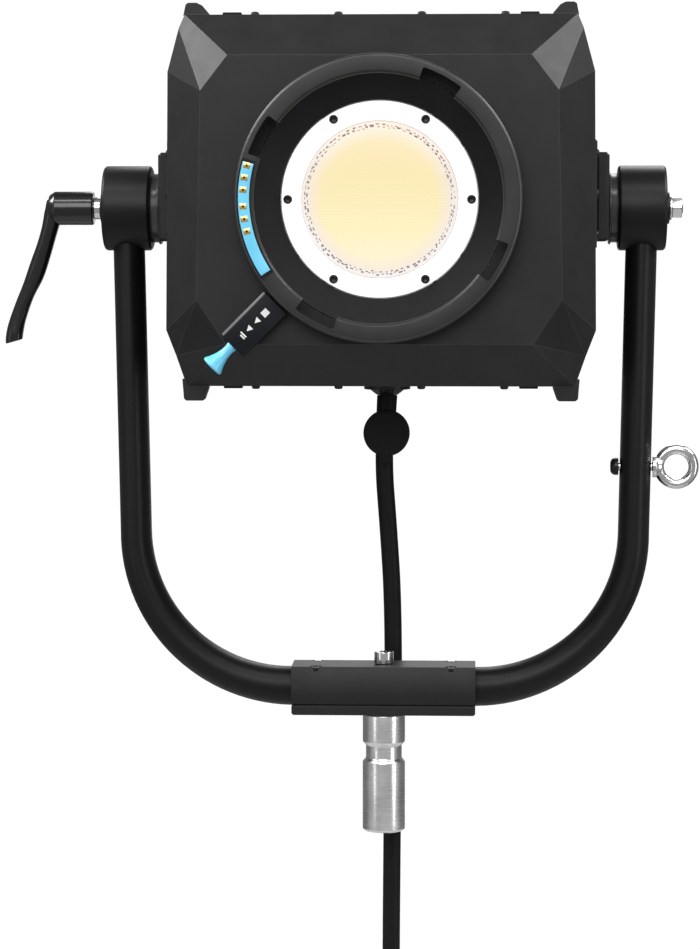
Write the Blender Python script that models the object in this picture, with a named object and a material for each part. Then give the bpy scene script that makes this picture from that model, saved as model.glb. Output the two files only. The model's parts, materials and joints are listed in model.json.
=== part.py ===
"""Studio spotlight head with a chip-on-board lamp, a bayonet accessory mount and a tubular yoke.

Lengths in this file are millimetres, and the builders scale them to metres. X is to the right, Y to
the back and Z up. Shapes are drawn about the tilt axis, which passes through (0, 0, 0) along X. The
whole lamp is then lifted so that the world origin is the centre of the stand pin's lower end.
"""

import math

import bmesh
import bpy
from mathutils import Matrix, Vector

MM = 0.001
GAP = 0.3
PIVOT_HEIGHT = 416.5

# Head casing: the flat front face, and the wider edge that its slopes run back to.
FACE_Y = -112.0
EDGE_Y = -80.0
CASE_FRONT_Y = -72.0
CASE_REAR_Y = 94.5
REAR_FACE_Y = 112.0
FACE_CORNERS = ((95.0, 93.8), (112.0, 71.8), (115.0, -59.1), (96.5, -86.9))
EDGE_CORNERS = (
    (124.6, 121.3),
    (128.2, 112.7),
    (135.7, 85.3),
    (137.2, -78.7),
    (130.8, -95.2),
    (124.0, -114.6),
)
# Outlines of the corner bumpers, on the +X side.
TOP_BUMPER = (
    (108.0, 117.0),
    (109.0, 121.8),
    (113.6, 127.2),
    (117.0, 128.8),
    (122.4, 128.8),
    (124.0, 127.6),
    (125.4, 120.8),
    (123.0, 117.0),
)
BOTTOM_BUMPER = (
    (109.4, -110.0),
    (110.0, -116.0),
    (112.6, -123.2),
    (114.0, -124.0),
    (124.4, -124.0),
    (126.0, -122.6),
    (127.0, -110.0),
)
CASE_STEP = 1.8
WALL = 2.6

# Bayonet ring and what it frames.
LAMP_Z = 4.0
RING_RADIUS = 89.8
RING_FRONT_Y = -130.0
LUG_RADIUS = 77.5
LUG_DEPTH = 3.6
LUG_GAP_CENTRES = (62.0, 152.0, 242.0, 332.0)
LUG_GAP_WIDTH = 18.0
RETAINER_RADIUS = 61.75
RETAINER_FRONT_Y = -101.0
LENS_RADIUS = 49.4
LED_RADIUS = 40.5
SCREW_CIRCLE = 57.8

# Latch at the lower left of the ring, pointing away from the lamp's axis.
LATCH_ANGLE = 225.0
LATCH_START = 91.0
LATCH_END = 129.5
LATCH_WIDTH = 20.0
KNOB_END = 148.5

# Tilt joint, from the casing outwards along X.
RAIL_X = (134.6, 138.2)
BLOCK_X = (138.5, 147.5)
DISC_X = (147.8, 153.7)
HUB_X = (154.0, 185.5)
HUB_RADIUS = 28.0
DISC_RADIUS = 24.0
BOLT_RADIUS = 4.0
BORE_RADIUS = 4.6

# Yoke tube: straight arms that lean in, a bend, and the crossbar clamp.
ARM_TOP = (169.9, -20.0)
ARM_FOOT = (166.0, -215.0)
BEND_CENTRE = (62.0, -215.0)
BEND_RADIUS = 104.0
TUBE_TOP_SIZE = (20.8, 32.0)
TUBE_FOOT_SIZE = (26.2, 25.0)
CLAMP_HALF = 61.2
CLAMP_TOP_Z = -304.0
CLAMP_SPLIT_Z = -329.0
CLAMP_BOTTOM_Z = -336.5
PIN_RADIUS = 14.3
CLAMP_SCREWS = ((-45.0, -14.0), (45.0, -14.0), (-45.0, 14.0), (45.0, 14.0))

# Fan.
FAN_Y = (62.0, 87.0)
FAN_HALF = 60.0
FAN_BORE = 57.0

# Cord: from the gland under the head, behind the crossbar, to its connector.
GLAND_X = 1.0
GLAND_Y = 35.0
CORD_RADIUS = 6.0
RELIEF_END_Z = -153.6
CORD_STEP = 26.0
CORD_ROUTE = (
    (-0.4, 35.0, -153.9),
    (-0.9, 35.2, -166.0),
    (-0.6, 35.6, -182.0),
    (0.4, 36.0, -197.0),
    (1.6, 36.2, -213.0),
    (2.9, 36.2, -232.0),
    (4.0, 36.0, -250.0),
    (4.8, 35.6, -272.0),
    (5.2, 35.2, -296.0),
    (5.3, 34.8, -322.0),
    (5.2, 34.6, -350.0),
    (5.0, 34.6, -380.0),
    (4.7, 34.8, -415.0),
    (4.4, 35.0, -455.0),
    (4.1, 35.2, -500.0),
    (4.0, 35.2, -556.0),
)
CONNECTOR_LENGTH = 74.0

# Dust cap on its strap, hanging in front of the strain relief.
CAP_HINGE = (1.0, 21.0, -124.2)
EYE_BOLT_Z = -171.0
# How far the lever's cross-sections lean, in height for each unit across.
LEVER_LEAN = 0.28
CAP_CENTRE_Z = -150.4
CAP_RADIUS = 15.6

BLACK_PAINT = ((0.018, 0.018, 0.019), 0.55, 0.0)
BLACK_PLASTIC = ((0.014, 0.014, 0.015), 0.38, 0.0)
BLACK_RUBBER = ((0.02, 0.02, 0.02), 0.75, 0.0)
BLACK_STEEL = ((0.03, 0.03, 0.032), 0.35, 1.0)
BRIGHT_STEEL = ((0.62, 0.62, 0.63), 0.25, 1.0)
BARE_ALUMINIUM = ((0.55, 0.56, 0.57), 0.4, 1.0)
CYAN_PLASTIC = ((0.12, 0.56, 0.82), 0.35, 0.0)
WHITE_PLASTIC = ((0.86, 0.86, 0.84), 0.4, 0.0)
CLEAR_SILICONE = ((0.9, 0.9, 0.86), 0.15, 0.0)
YELLOW_PHOSPHOR = ((0.95, 0.82, 0.3), 0.5, 0.0)
GREEN_BOARD = ((0.02, 0.16, 0.07), 0.5, 0.0)


def clear_scene():
    for obj in list(bpy.data.objects):
        bpy.data.objects.remove(obj)


def make_empty(name, place=(0.0, 0.0, 0.0), parent=None):
    empty = bpy.data.objects.new(name, None)
    bpy.context.scene.collection.objects.link(empty)
    empty.location = Vector(place) * MM
    empty.parent = parent
    return empty


def material_of(name, finish):
    colour, roughness, metallic = finish
    material = bpy.data.materials.new(name)
    material.use_nodes = True
    shader = material.node_tree.nodes["Principled BSDF"]
    shader.inputs["Base Color"].default_value = (*colour, 1.0)
    shader.inputs["Roughness"].default_value = roughness
    shader.inputs["Metallic"].default_value = metallic
    return material


def add_object(name, bm, finish, parent):
    """Makes an object from a bmesh drawn in millimetres about the tilt axis."""
    bmesh.ops.recalc_face_normals(bm, faces=bm.faces)
    bmesh.ops.scale(bm, vec=(MM, MM, MM), verts=bm.verts)
    mesh = bpy.data.meshes.new(name)
    bm.to_mesh(mesh)
    bm.free()
    mesh.shade_smooth()
    mesh.set_sharp_from_angle(angle=math.radians(35.0))
    obj = bpy.data.objects.new(name, mesh)
    bpy.context.scene.collection.objects.link(obj)
    obj.parent = parent
    if finish is not None:
        mesh.materials.append(material_of(name, finish))
    return obj


def boolean(obj, bm, operation):
    """Cuts or joins a helper shape, drawn like the object itself, and leaves the helper out of the part."""
    helper = add_object(f"{obj.name}_{operation.lower()}_{len(obj.modifiers)}", bm, None, obj.parent)
    helper.hide_render = True
    helper.display_type = "WIRE"
    modifier = obj.modifiers.new(operation.lower(), "BOOLEAN")
    modifier.operation = operation
    modifier.solver = "EXACT"
    modifier.object = helper
    return obj


def cut(obj, bm):
    return boolean(obj, bm, "DIFFERENCE")


def join(obj, bm):
    return boolean(obj, bm, "UNION")


def merged(*pieces):
    """One bmesh that holds several, which it frees."""
    whole = pieces[0]
    for piece in pieces[1:]:
        mesh = bpy.data.meshes.new("merged")
        piece.to_mesh(mesh)
        piece.free()
        whole.from_mesh(mesh)
        bpy.data.meshes.remove(mesh)
    return whole


def moved(bm, matrix):
    bmesh.ops.transform(bm, matrix=matrix, verts=bm.verts)
    return bm


def rounded(bm, width, segments=1, angle=30.0):
    """Bevels the edges that bend by more than an angle."""
    bmesh.ops.recalc_face_normals(bm, faces=bm.faces)
    sharp = [
        edge
        for edge in bm.edges
        if len(edge.link_faces) == 2 and edge.calc_face_angle() > math.radians(angle)
    ]
    bmesh.ops.bevel(
        bm, geom=sharp, offset=width, segments=segments, profile=0.5, affect="EDGES", clamp_overlap=True
    )
    return bm


def box(x, y, z):
    """A box from three (low, high) pairs."""
    bm = bmesh.new()
    bmesh.ops.create_cube(bm, size=1.0)
    size = (x[1] - x[0], y[1] - y[0], z[1] - z[0])
    middle = ((x[0] + x[1]) / 2, (y[0] + y[1]) / 2, (z[0] + z[1]) / 2)
    bmesh.ops.scale(bm, vec=size, verts=bm.verts)
    bmesh.ops.translate(bm, vec=middle, verts=bm.verts)
    return bm


def loft(loops):
    """A closed body through loops of equal length, with flat ends."""
    bm = bmesh.new()
    rows = [[bm.verts.new(point) for point in loop] for loop in loops]
    count = len(rows[0])
    for row, after in zip(rows, rows[1:]):
        for i in range(count):
            j = (i + 1) % count
            bm.faces.new((row[i], row[j], after[j], after[i]))
    bm.faces.new(rows[0])
    bm.faces.new(reversed(rows[-1]))
    return bm


def prism(outline, low, high, axis="Y"):
    """An outline pushed along an axis. The outline is (X, Z) for axis Y, (Y, Z) for X and (X, Y) for Z."""
    place = {
        "X": lambda a, b, h: (h, a, b),
        "Y": lambda a, b, h: (a, h, b),
        "Z": lambda a, b, h: (a, b, h),
    }[axis]
    return loft([[place(a, b, height) for a, b in outline] for height in (low, high)])


def turned(profile, axis="Y", centre=(0.0, 0.0, 0.0), sides=32):
    """A profile of (radius, height) points spun about an axis.

    It closes on itself, or starts and ends on the axis.
    """
    turn = {
        "X": lambda r, a, h: (h, r * math.cos(a), r * math.sin(a)),
        "Y": lambda r, a, h: (r * math.cos(a), h, r * math.sin(a)),
        "Z": lambda r, a, h: (r * math.cos(a), r * math.sin(a), h),
    }[axis]
    bm = bmesh.new()
    rows = []
    for radius, height in profile:
        if radius == 0.0:
            rows.append([bm.verts.new(turn(0.0, 0.0, height))] * sides)
            continue
        angles = [2 * math.pi * i / sides for i in range(sides)]
        rows.append([bm.verts.new(turn(radius, angle, height)) for angle in angles])
    pairs = list(zip(rows, rows[1:]))
    if profile[0][0] > 0.0:
        pairs.append((rows[-1], rows[0]))
    for row, after in pairs:
        for i in range(sides):
            j = (i + 1) % sides
            corners = dict.fromkeys((row[i], row[j], after[j], after[i]))
            bm.faces.new(corners)
    bmesh.ops.translate(bm, vec=centre, verts=bm.verts)
    return bm


def rod(radius, low, high, axis="Y", centre=(0.0, 0.0, 0.0), sides=24, chamfer=0.0):
    """A solid cylinder, with chamfered ends where asked."""
    inner = radius - chamfer
    profile = [(0.0, low), (inner, low)]
    if chamfer:
        profile += [(radius, low + chamfer), (radius, high - chamfer)]
        profile += [(inner, high), (0.0, high)]
    else:
        profile += [(radius, high), (0.0, high)]
    return turned(profile, axis, centre, sides)


def sleeve(inner, outer, low, high, axis="Y", centre=(0.0, 0.0, 0.0), sides=32, chamfer=0.0):
    """A ring with a round hole, with its outer edges chamfered where asked."""
    profile = [(inner, low), (outer - chamfer, low)]
    if chamfer:
        profile += [(outer, low + chamfer), (outer, high - chamfer), (outer - chamfer, high)]
    else:
        profile += [(outer, high)]
    profile += [(inner, high)]
    return turned(profile, axis, centre, sides)


def hexagon(flats):
    radius = flats / math.sqrt(3.0)
    angles = [math.radians(60 * i) for i in range(6)]
    return [(radius * math.cos(a), radius * math.sin(a)) for a in angles]


def inwards(corner, inset):
    x, z = corner
    return x - math.copysign(inset, x), z - math.copysign(inset, z)


def faceted_shell(inset, face_y, edge_y, end_y):
    """The casing's sculpted end: a small flat face, triangular slopes, and a short straight wall."""
    bm = bmesh.new()
    face = [inwards(corner, inset) for corner in FACE_CORNERS]
    edge = [inwards(corner, inset) for corner in EDGE_CORNERS]
    f, e, b = ({}, {}, {})
    for side in (1, -1):
        f[side] = [bm.verts.new((side * x, face_y, z)) for x, z in face]
        e[side] = [bm.verts.new((side * x, edge_y, z)) for x, z in edge]
        b[side] = [bm.verts.new((side * x, end_y, z)) for x, z in edge]
        fs, es, bs = f[side], e[side], b[side]
        slopes = (
            (fs[0], es[0], es[1]),
            (fs[0], es[1], fs[1]),
            (fs[1], es[1], es[2]),
            (fs[1], es[2], fs[2]),
            (fs[2], es[2], es[3]),
            (fs[2], es[3], es[4]),
            (fs[2], es[4], fs[3]),
            (fs[3], es[4], es[5]),
        )
        for corners in slopes:
            bm.faces.new(corners)
        for i in range(5):
            bm.faces.new((es[i], es[i + 1], bs[i + 1], bs[i]))
    for upper, lower in ((0, 0), (-1, -1)):
        bm.faces.new((f[1][upper], e[1][lower], e[-1][lower], f[-1][upper]))
        bm.faces.new((e[1][upper], b[1][lower], b[-1][lower], e[-1][upper]))
    bm.faces.new(f[1] + f[-1][::-1])
    bm.faces.new(b[1] + b[-1][::-1])
    return bm


def add_front_bezel(head):
    bezel = add_object("front_bezel", faceted_shell(0.0, FACE_Y, EDGE_Y, CASE_FRONT_Y), BLACK_PAINT, head)
    cut(bezel, faceted_shell(3.0, FACE_Y + 4.0, EDGE_Y, CASE_FRONT_Y + 1.0))
    cut(bezel, rod(RING_RADIUS + GAP, FACE_Y - 1.0, FACE_Y + 6.0, "Y", (0.0, 0.0, LAMP_Z), 48))
    bumpers = []
    for side in (1, -1):
        for outline in (TOP_BUMPER, BOTTOM_BUMPER):
            shape = prism([(side * x, z) for x, z in outline], EDGE_Y, CASE_FRONT_Y)
            bumpers.append(shape)
    join(bezel, merged(*bumpers))


def add_covers(head):
    """The casing behind the bezel: a top and a bottom channel between two flat side panels."""
    outer = [inwards(corner, CASE_STEP) for corner in EDGE_CORNERS]
    inner = [inwards(corner, CASE_STEP + WALL) for corner in EDGE_CORNERS]
    side_x = outer[2][0]
    for name, outside, inside in (
        ("top_cover", outer[:3], inner[:3]),
        ("bottom_cover", outer[:2:-1], inner[:2:-1]),
    ):
        outside = outside[:-1] + [(side_x, outside[-1][1])]
        inside = inside[:-1] + [(side_x - WALL, outside[-1][1])]
        ring = [(-x, z) for x, z in reversed(outside)] + outside
        ring += inside[::-1] + [(-x, z) for x, z in inside]
        cover = add_object(name, prism(ring, CASE_FRONT_Y + GAP, CASE_REAR_Y), BLACK_PAINT, head)
        if name == "bottom_cover":
            cut(cover, rod(8.0, -130.0, -100.0, "Z", (GLAND_X, GLAND_Y, 0.0)))
    top = outer[2][1] - GAP
    bottom = outer[3][1] + GAP
    for side, name in ((-1, "side_panel_left"), (1, "side_panel_right")):
        x = sorted((side * (side_x - WALL), side * side_x))
        sheet = box(x, (CASE_FRONT_Y + GAP, CASE_REAR_Y), (bottom, top))
        panel = add_object(name, sheet, BLACK_PAINT, head)
        slots = []
        for i in range(11):
            y = -58.0 + 13.5 * i
            for low, high in ((bottom + 10.0, -34.0), (50.0, top - 8.0)):
                slots.append(box((side_x - 10.0, side_x + 10.0), (y, y + 5.0), (low, high)))
        vents = moved(merged(*slots), Matrix.Scale(side, 4, (1.0, 0.0, 0.0)))
        cut(panel, vents)


def add_rear(head):
    shell = faceted_shell(CASE_STEP, REAR_FACE_Y, REAR_FACE_Y - 12.0, CASE_REAR_Y + GAP)
    rear = add_object("rear_cover", shell, BLACK_PAINT, head)
    cut(rear, faceted_shell(CASE_STEP + WALL, REAR_FACE_Y - 3.5, REAR_FACE_Y - 13.0, CASE_REAR_Y - 1.0))
    cut(rear, rod(58.0, 100.0, 120.0, "Y", (0.0, 0.0, 0.0), 36))
    disc = rod(57.6, REAR_FACE_Y - 3.2, REAR_FACE_Y - 0.4, "Y", sides=36)
    grille = add_object("rear_grille", disc, BLACK_STEEL, head)
    slots = []
    for i in range(-5, 6):
        z = 9.4 * i
        half = math.sqrt(53.0**2 - z**2)
        for low, high in ((-half, -3.0), (3.0, half)):
            slots.append(box((low, high), (100.0, 120.0), (z - 3.0, z + 3.0)))
    cut(grille, merged(*slots))


def sector(inner, outer, start, end, steps):
    """An outline between two radii and two angles, in degrees."""
    angles = [math.radians(start + (end - start) * i / steps) for i in range(steps + 1)]
    arc = [(outer * math.cos(a), outer * math.sin(a)) for a in angles]
    return arc + [(inner * math.cos(a), inner * math.sin(a)) for a in reversed(angles)]


def add_mount_ring(head):
    centre = (0.0, 0.0, LAMP_Z)
    rim = RING_FRONT_Y
    lug = rim + LUG_DEPTH
    profile = (
        (LUG_RADIUS, rim),
        (RING_RADIUS - 0.8, rim),
        (RING_RADIUS, rim + 0.8),
        (RING_RADIUS, FACE_Y + 4.0),
        (80.0, FACE_Y + 4.0),
        (80.0, FACE_Y + 0.5),
        (86.2, FACE_Y + 0.5),
        (86.2, lug),
        (LUG_RADIUS, lug),
    )
    ring = add_object("mount_ring", turned(profile, "Y", centre, 48), BLACK_PAINT, head)
    gaps = []
    for middle in LUG_GAP_CENTRES:
        outline = sector(70.0, 85.6, middle - LUG_GAP_WIDTH / 2, middle + LUG_GAP_WIDTH / 2, 3)
        gaps.append(prism(outline, rim - 2.0, lug + 1.5))
    cut(ring, moved(merged(*gaps), Matrix.Translation(centre)))


def add_contact_strip(head):
    outline = sector(79.8, 87.1, 164.3, 213.6, 10)
    strip = prism(outline, RING_FRONT_Y - GAP - 0.9, RING_FRONT_Y - GAP)
    place = Matrix.Translation((0.0, 0.0, LAMP_Z))
    add_object("contact_strip", moved(strip, place), CYAN_PLASTIC, head)


def add_lamp(head):
    """The lamp stack from the dish around it back to its board."""
    centre = (0.0, 0.0, LAMP_Z)
    front = RETAINER_FRONT_Y
    dish = ((79.6, -111.3), (79.6, -108.6), (62.4, -97.8), (62.4, -100.6))
    add_object("inner_baffle", turned(dish, "Y", centre, 36), BLACK_PAINT, head)
    ring = sleeve(LENS_RADIUS + GAP, RETAINER_RADIUS, front, front + 4.5, "Y", centre, 36)
    retainer = add_object("lens_retainer", ring, WHITE_PLASTIC, head)
    holes = []
    for i in range(6):
        angle = math.radians(60 * i)
        place = (SCREW_CIRCLE * math.cos(angle), 0.0, LAMP_Z + SCREW_CIRCLE * math.sin(angle))
        holes.append(rod(1.9, front - 2.0, front + 7.0, "Y", place, 8))
        screw = turned(
            (
                (0.0, front - GAP - 1.9),
                (2.2, front - GAP - 1.9),
                (2.85, front - GAP - 1.0),
                (2.85, front - GAP),
                (1.5, front - GAP),
                (1.5, front + 6.0),
                (0.0, front + 6.0),
            ),
            "Y",
            place,
            8,
        )
        add_object(f"retainer_screw_{i + 1}", screw, BLACK_STEEL, head)
    cut(retainer, merged(*holes))
    dome = (
        (0.0, -101.4),
        (20.0, -101.0),
        (36.0, -100.0),
        (LENS_RADIUS, -98.2),
        (LENS_RADIUS, -94.6),
        (0.0, -94.6),
    )
    add_object("cob_lens", turned(dome, "Y", centre, 36), CLEAR_SILICONE, head)
    add_object("cob_led", rod(LED_RADIUS, -94.3, -92.9, "Y", centre, 32), YELLOW_PHOSPHOR, head)
    board = rounded(box((-52.0, 52.0), (-92.6, -90.2), (LAMP_Z - 52.0, LAMP_Z + 52.0)), 1.0)
    add_object("cob_board", board, BARE_ALUMINIUM, head)


def add_heat_sink(head):
    """A base plate with upright fins behind it, as one comb pushed along Z."""
    base = (-89.9, -81.0)
    comb = [(-100.0, base[0]), (100.0, base[0])]
    for i in range(10, -11, -1):
        x = 9.6 * i
        comb += [(x + 1.1, base[1]), (x + 1.1, 54.0), (x - 1.1, 54.0), (x - 1.1, base[1])]
    comb[2:2] = [(100.0, base[1])]
    comb.append((-100.0, base[1]))
    add_object("heat_sink", prism(comb, -82.0, 88.0, "Z"), BARE_ALUMINIUM, head)
    board = rounded(box((-72.0, 72.0), (-60.0, 20.0), (-101.0, -99.2)), 0.5)
    add_object("driver_board", board, GREEN_BOARD, head)


def add_fan(head, rotor_axis):
    low, high = FAN_Y
    body = rounded(box((-FAN_HALF, FAN_HALF), FAN_Y, (-FAN_HALF, FAN_HALF)), 2.0)
    frame = add_object("fan_frame", body, BLACK_PLASTIC, head)
    cut(frame, rod(FAN_BORE, low - 5.0, high + 5.0, "Y", sides=32))
    boss = rod(20.0, low + 4.0, high - 4.0, "Y", sides=28, chamfer=1.5)
    rotor = add_object("fan_rotor", boss, BLACK_PLASTIC, rotor_axis)
    blades = []
    for i in range(7):
        blade = box((16.0, 54.0), (-8.0, 8.0), (-1.0, 1.0))
        twist = Matrix.Rotation(math.radians(48.0), 4, "X")
        place = Matrix.Rotation(2 * math.pi * i / 7, 4, "Y")
        middle = Matrix.Translation((0.0, (low + high) / 2, 0.0))
        blades.append(moved(blade, middle @ place @ twist))
    join(rotor, merged(*blades))


def add_latch(head, latch):
    """The quick-release bolt of the bayonet: a bar on the front face and a pull knob at its outer end."""
    angle = math.radians(LATCH_ANGLE)
    spin = Matrix.Translation((0.0, 0.0, LAMP_Z)) @ Matrix.Rotation(-angle, 4, "Y")
    middle_y = FACE_Y - GAP - 4.4
    half = LATCH_WIDTH / 2
    bar = rounded(
        box((LATCH_START, LATCH_END), (FACE_Y - GAP - 8.8, FACE_Y - GAP), (-half, half)), 1.2
    )
    housing = add_object("latch_housing", moved(bar, spin), BLACK_PAINT, head)
    bore = rod(2.6, LATCH_START + 10.0, LATCH_END + 5.0, "X", (0.0, middle_y, 0.0), 16)
    cut(housing, moved(bore, spin))
    knob = (
        (0.0, LATCH_START + 16.0),
        (2.2, LATCH_START + 16.0),
        (2.2, LATCH_END + GAP),
        (3.6, LATCH_END + GAP),
        (3.1, LATCH_END + 4.0),
        (3.6, LATCH_END + 8.5),
        (5.4, LATCH_END + 13.5),
        (7.3, KNOB_END - 1.6),
        (7.3, KNOB_END),
        (0.0, KNOB_END),
    )
    shape = turned(knob, "X", (0.0, middle_y, 0.0), 20)
    add_object("latch_knob", moved(shape, spin), CYAN_PLASTIC, latch)


def span(side, pair):
    """A pair of distances from the middle, as low and high X on one side."""
    return sorted((side * pair[0], side * pair[1]))


def add_tilt_joint(head, yoke, side):
    """Everything that stacks along X between the casing and the yoke tube on one side."""
    name = "left" if side < 0 else "right"
    plate = rounded(box(span(side, RAIL_X), (-62.0, 62.0), (-27.0, 43.0)), 1.2)
    rail = add_object(f"side_rail_{name}", plate, BLACK_PAINT, head)
    cut(rail, rod(BORE_RADIUS, side * 130.0, side * 142.0, "X", sides=20))
    shape = rounded(box(span(side, BLOCK_X), (-29.0, 29.0), (-22.0, 36.0)), 2.0)
    block = add_object(f"pivot_block_{name}", shape, BLACK_PAINT, head)
    cut(block, rod(BORE_RADIUS, side * 136.0, side * 150.0, "X", sides=20))
    low, high = span(side, DISC_X)
    disc = sleeve(BORE_RADIUS, DISC_RADIUS, low, high, "X", sides=32, chamfer=0.8)
    add_object(f"friction_disc_{name}", disc, BLACK_PLASTIC, head)
    low, high = span(side, HUB_X)
    hub = sleeve(BORE_RADIUS, HUB_RADIUS, low, high, "X", sides=36, chamfer=1.2)
    add_object(f"yoke_hub_{name}", hub, BLACK_PAINT, yoke)


def tube_section(centre, along, size, sides=18):
    """An oval across the tube's run in the XZ plane: size is (in that plane, front to back)."""
    outward = Vector((-along[1], 0.0, along[0]))
    place = Vector((centre[0], 0.0, centre[1]))
    points = []
    for i in range(sides):
        angle = 2 * math.pi * i / sides
        across = outward * (size[0] / 2 * math.cos(angle))
        points.append(place + across + Vector((0.0, size[1] / 2 * math.sin(angle), 0.0)))
    return points


def add_yoke_arm(yoke, side):
    """One bent tube, from the hub down and round to the clamp."""
    name = "left" if side < 0 else "right"
    stations = []
    top, foot = Vector(ARM_TOP), Vector(ARM_FOOT)
    run = (foot - top).normalized()
    for i in range(4):
        stations.append((top.lerp(foot, i / 4), run))
    for i in range(11):
        angle = math.radians(-90.0 * i / 10)
        radial = Vector((math.cos(angle), math.sin(angle)))
        stations.append((Vector(BEND_CENTRE) + radial * BEND_RADIUS, Vector((radial[1], -radial[0]))))
    end = Vector((CLAMP_HALF + GAP, BEND_CENTRE[1] - BEND_RADIUS))
    stations[-1] = (end, Vector((-1.0, 0.0)))
    loops = []
    for i, (centre, along) in enumerate(stations):
        share = min(1.0, max(0.0, (i - 4) / 10))
        size = [a + (b - a) * share for a, b in zip(TUBE_TOP_SIZE, TUBE_FOOT_SIZE)]
        loops.append(tube_section(centre, along, size))
    arm = loft(loops)
    if side < 0:
        moved(arm, Matrix.Scale(-1.0, 4, (1.0, 0.0, 0.0)))
    tube = add_object(f"yoke_arm_{name}", arm, BLACK_PAINT, yoke)
    cut(tube, rod(HUB_RADIUS + GAP, -210.0, 210.0, "X", sides=36))
    if side > 0:
        cut(tube, rod(3.4, 140.0, 190.0, "X", (0.0, 0.0, EYE_BOLT_Z), 16))


def add_clamp(yoke):
    """The crossbar's clamp, its screws, and the pin that drops into a stand."""
    section = ((-17.0, CLAMP_TOP_Z), (17.0, CLAMP_TOP_Z), (20.5, -318.7), (18.2, CLAMP_SPLIT_Z))
    section += ((-18.2, CLAMP_SPLIT_Z), (-20.5, -318.7))
    upper = add_object("clamp_upper", prism(section, -CLAMP_HALF, CLAMP_HALF, "X"), BLACK_PAINT, yoke)
    plate = box((-CLAMP_HALF, CLAMP_HALF), (-18.2, 18.2), (CLAMP_BOTTOM_Z, CLAMP_SPLIT_Z - GAP))
    lower = add_object("clamp_lower", rounded(plate, 1.2), BLACK_PAINT, yoke)
    upper_holes = [rod(4.6, -345.0, -300.0, "Z", sides=20)]
    lower_holes = [rod(4.6, -345.0, -320.0, "Z", sides=20)]
    for i, (x, y) in enumerate(CLAMP_SCREWS):
        place = (x, y, 0.0)
        upper_holes.append(rod(3.9, -308.4, -300.0, "Z", place, 10))
        upper_holes.append(rod(2.3, -345.0, -306.0, "Z", place, 10))
        lower_holes.append(rod(2.3, -345.0, -320.0, "Z", place, 10))
        profile = (
            (0.0, -334.0),
            (2.0, -334.0),
            (2.0, -308.0),
            (3.5, -308.0),
            (3.5, -304.4),
            (1.7, -304.4),
            (1.7, -306.6),
            (0.0, -306.6),
        )
        add_object(f"clamp_screw_{i + 1}", turned(profile, "Z", place, 10), BLACK_STEEL, yoke)
    for holes in upper_holes:
        cut(upper, holes)
    cut(lower, merged(*lower_holes))
    pin_top = CLAMP_BOTTOM_Z - GAP
    low = -PIVOT_HEIGHT
    pin = (
        (0.0, low),
        (PIN_RADIUS - 1.5, low),
        (PIN_RADIUS, low + 1.5),
        (PIN_RADIUS, low + 47.0),
        (PIN_RADIUS - 2.2, low + 49.5),
        (PIN_RADIUS - 2.2, low + 58.0),
        (PIN_RADIUS, low + 60.5),
        (PIN_RADIUS, pin_top - 1.0),
        (PIN_RADIUS - 1.0, pin_top),
        (4.5, pin_top),
        (4.5, pin_top - 24.0),
        (0.0, pin_top - 24.0),
    )
    add_object("stand_pin", turned(pin, "Z", sides=28), BRIGHT_STEEL, yoke)
    head_low = CLAMP_TOP_Z + GAP
    screw = (
        (0.0, pin_top - 20.0),
        (4.0, pin_top - 20.0),
        (4.0, head_low),
        (6.5, head_low),
        (6.5, head_low + 7.2),
        (5.9, head_low + 8.0),
        (3.2, head_low + 8.0),
        (3.2, head_low + 3.6),
        (0.0, head_low + 3.6),
    )
    add_object("pin_screw", turned(screw, "Z", sides=24), BRIGHT_STEEL, yoke)


def add_right_pivot(yoke):
    """The right-hand tilt bolt, with its two washers and its nut outside the hub."""
    bolt = rod(BOLT_RADIUS, 135.2, 197.0, "X", sides=20, chamfer=0.8)
    add_object("pivot_bolt", bolt, BRIGHT_STEEL, yoke)
    start = HUB_X[1] + GAP
    washer = sleeve(BORE_RADIUS, 10.5, start, start + 2.2, "X", sides=28)
    add_object("pivot_washer_black", washer, BLACK_PLASTIC, yoke)
    start += 2.2 + GAP
    washer = sleeve(BORE_RADIUS, 8.0, start, start + 1.2, "X", sides=24)
    add_object("pivot_washer_steel", washer, BRIGHT_STEEL, yoke)
    start += 1.2 + GAP
    shape = rounded(prism(hexagon(13.0), start, start + 6.5, "X"), 0.5)
    nut = add_object("pivot_nut", shape, BRIGHT_STEEL, yoke)
    cut(nut, rod(BORE_RADIUS - 0.2, start - 2.0, start + 9.0, "X", sides=20))


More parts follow.
